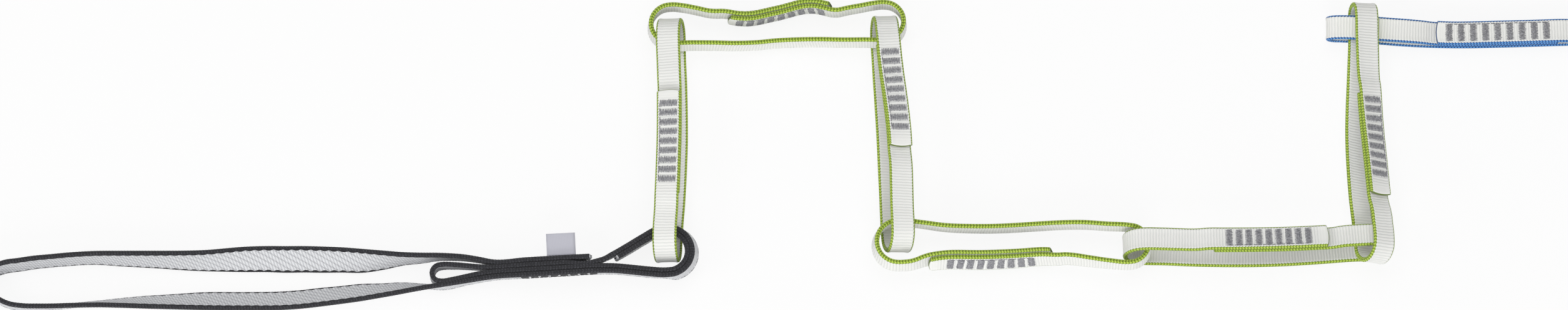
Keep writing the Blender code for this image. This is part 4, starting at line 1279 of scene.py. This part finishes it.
def tab_path(middle_line):
    """Line of the ribbon: out along the lower layer, round the fold, and back."""
    shares = np.linspace(0, 1, len(middle_line))
    wanted = np.linspace(0, 1, LAYER_POINTS)
    flat = np.stack([np.interp(wanted, shares, column) for column in middle_line.T], 1)
    way = unit(flat[-1] - flat[-2])
    up = np.array([0.0, 0.0, 1.0])
    lower, upper = flat - up * TAB_LAYER_GAP / 2, flat[::-1] + up * TAB_LAYER_GAP / 2
    turns = np.linspace(-math.pi / 2, math.pi / 2, FOLD_POINTS)[1:-1]
    fold = [flat[-1] + (way * math.cos(t) + up * math.sin(t)) * TAB_LAYER_GAP / 2 for t in turns]
    return np.vstack([lower, fold, upper])


# The CAD tab has pairs of corners, one over the other, along its left and its right side.
corners = np.unique(node_points("label").round(6), axis=0)
on_left = corners[:, 0] < corners[:, 0].mean()
rows = [half[np.argsort(half[:, 1])].reshape(-1, 2, 3).mean(axis=1)
        for half in (corners[on_left], corners[~on_left])]
width_way = (rows[1] - rows[0]).mean(axis=0)
path = tab_path(rows[0])
lengths = lengths_along(path)
print("tab", in_mm([np.linalg.norm(width_way), lengths[-1]]), "mm flat")

# %% [markdown]
# ## The tab's cloth
#
# A ribbon is thin, but its edges show. Both of its faces could be modelled, but one layer of
# faces along the path is easier to make and to map, and a Solidify modifier gives it the
# thickness of the cloth. Its map holds lengths, as the webbing's does.

# %% Make the tab
TAB_CLOTH = 0.16 * MM
TAB_COLUMNS = 9


def ribbon_mesh(path, width_way):
    """A strip of cloth along the path, with a map of its lengths along and across."""
    columns = np.linspace(0, 1, TAB_COLUMNS)
    points = path[:, None] + width_way * columns[None, :, None]
    mesh = bpy.data.meshes.new("folded_tab")
    mesh.from_pydata(points.reshape(-1, 3).tolist(), [],
                     net_faces(len(path), TAB_COLUMNS, closed=False).tolist())
    across = columns * np.linalg.norm(width_way)
    place = np.stack(np.meshgrid(lengths_along(path), across, indexing="ij"), -1).reshape(-1, 2)
    corner_index = np.empty(len(mesh.loops), np.int32)
    mesh.loops.foreach_get("vertex_index", corner_index)
    ribbon_map = place[corner_index].astype(np.float32)
    mesh.uv_layers.new(name="strip").data.foreach_set("uv", ribbon_map.ravel())
    mesh.shade_smooth()
    return mesh


tab = placed("folded_tab", ribbon_mesh(path, width_way))
thick = tab.modifiers.new("cloth", "SOLIDIFY")
thick.thickness = TAB_CLOTH
thick.offset = 0.0
print("tab of", len(tab.data.polygons), "faces, and", TAB_CLOTH / MM, "mm of cloth")

# %% [markdown]
# ## The tab's ribbon
#
# The ribbon is a plain weave, so fine that it only shows as faint squares. An even colour would
# look like paper, so two waves, one along the ribbon and one across it, multiply into squares.

# %% Finish the tab
RIBBON_PITCH = 0.36 * MM
RIBBON_BUMP = 0.04 * MM
RIBBON_ROUGHNESS = 0.7

ribbon = Finish("ribbon", RIBBON_ROUGHNESS)
warp, weft = strip_map(ribbon)
squares = ribbon.times(ribbon.wave(warp, RIBBON_PITCH), ribbon.wave(weft, RIBBON_PITCH))
colour = ribbon.mix(squares, paint(198, 198, 209), paint(214, 214, 223))
tab.data.materials.append(ribbon.finished(colour, squares, RIBBON_BUMP))
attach(tab, "tether")
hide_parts("label")
print("tab dressed in", ribbon.material.name)

# %% [markdown]
# ## Last checks
#
# The rounded edges reach a hair lower than the CAD's flat ones, so the table is moved to the
# lowest point of the dressed chain. The size of the dressed chain is printed.

# %% Check the size and finish
low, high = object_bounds()
table.location.z = low.z
print("visual size in mm", in_mm(high - low))
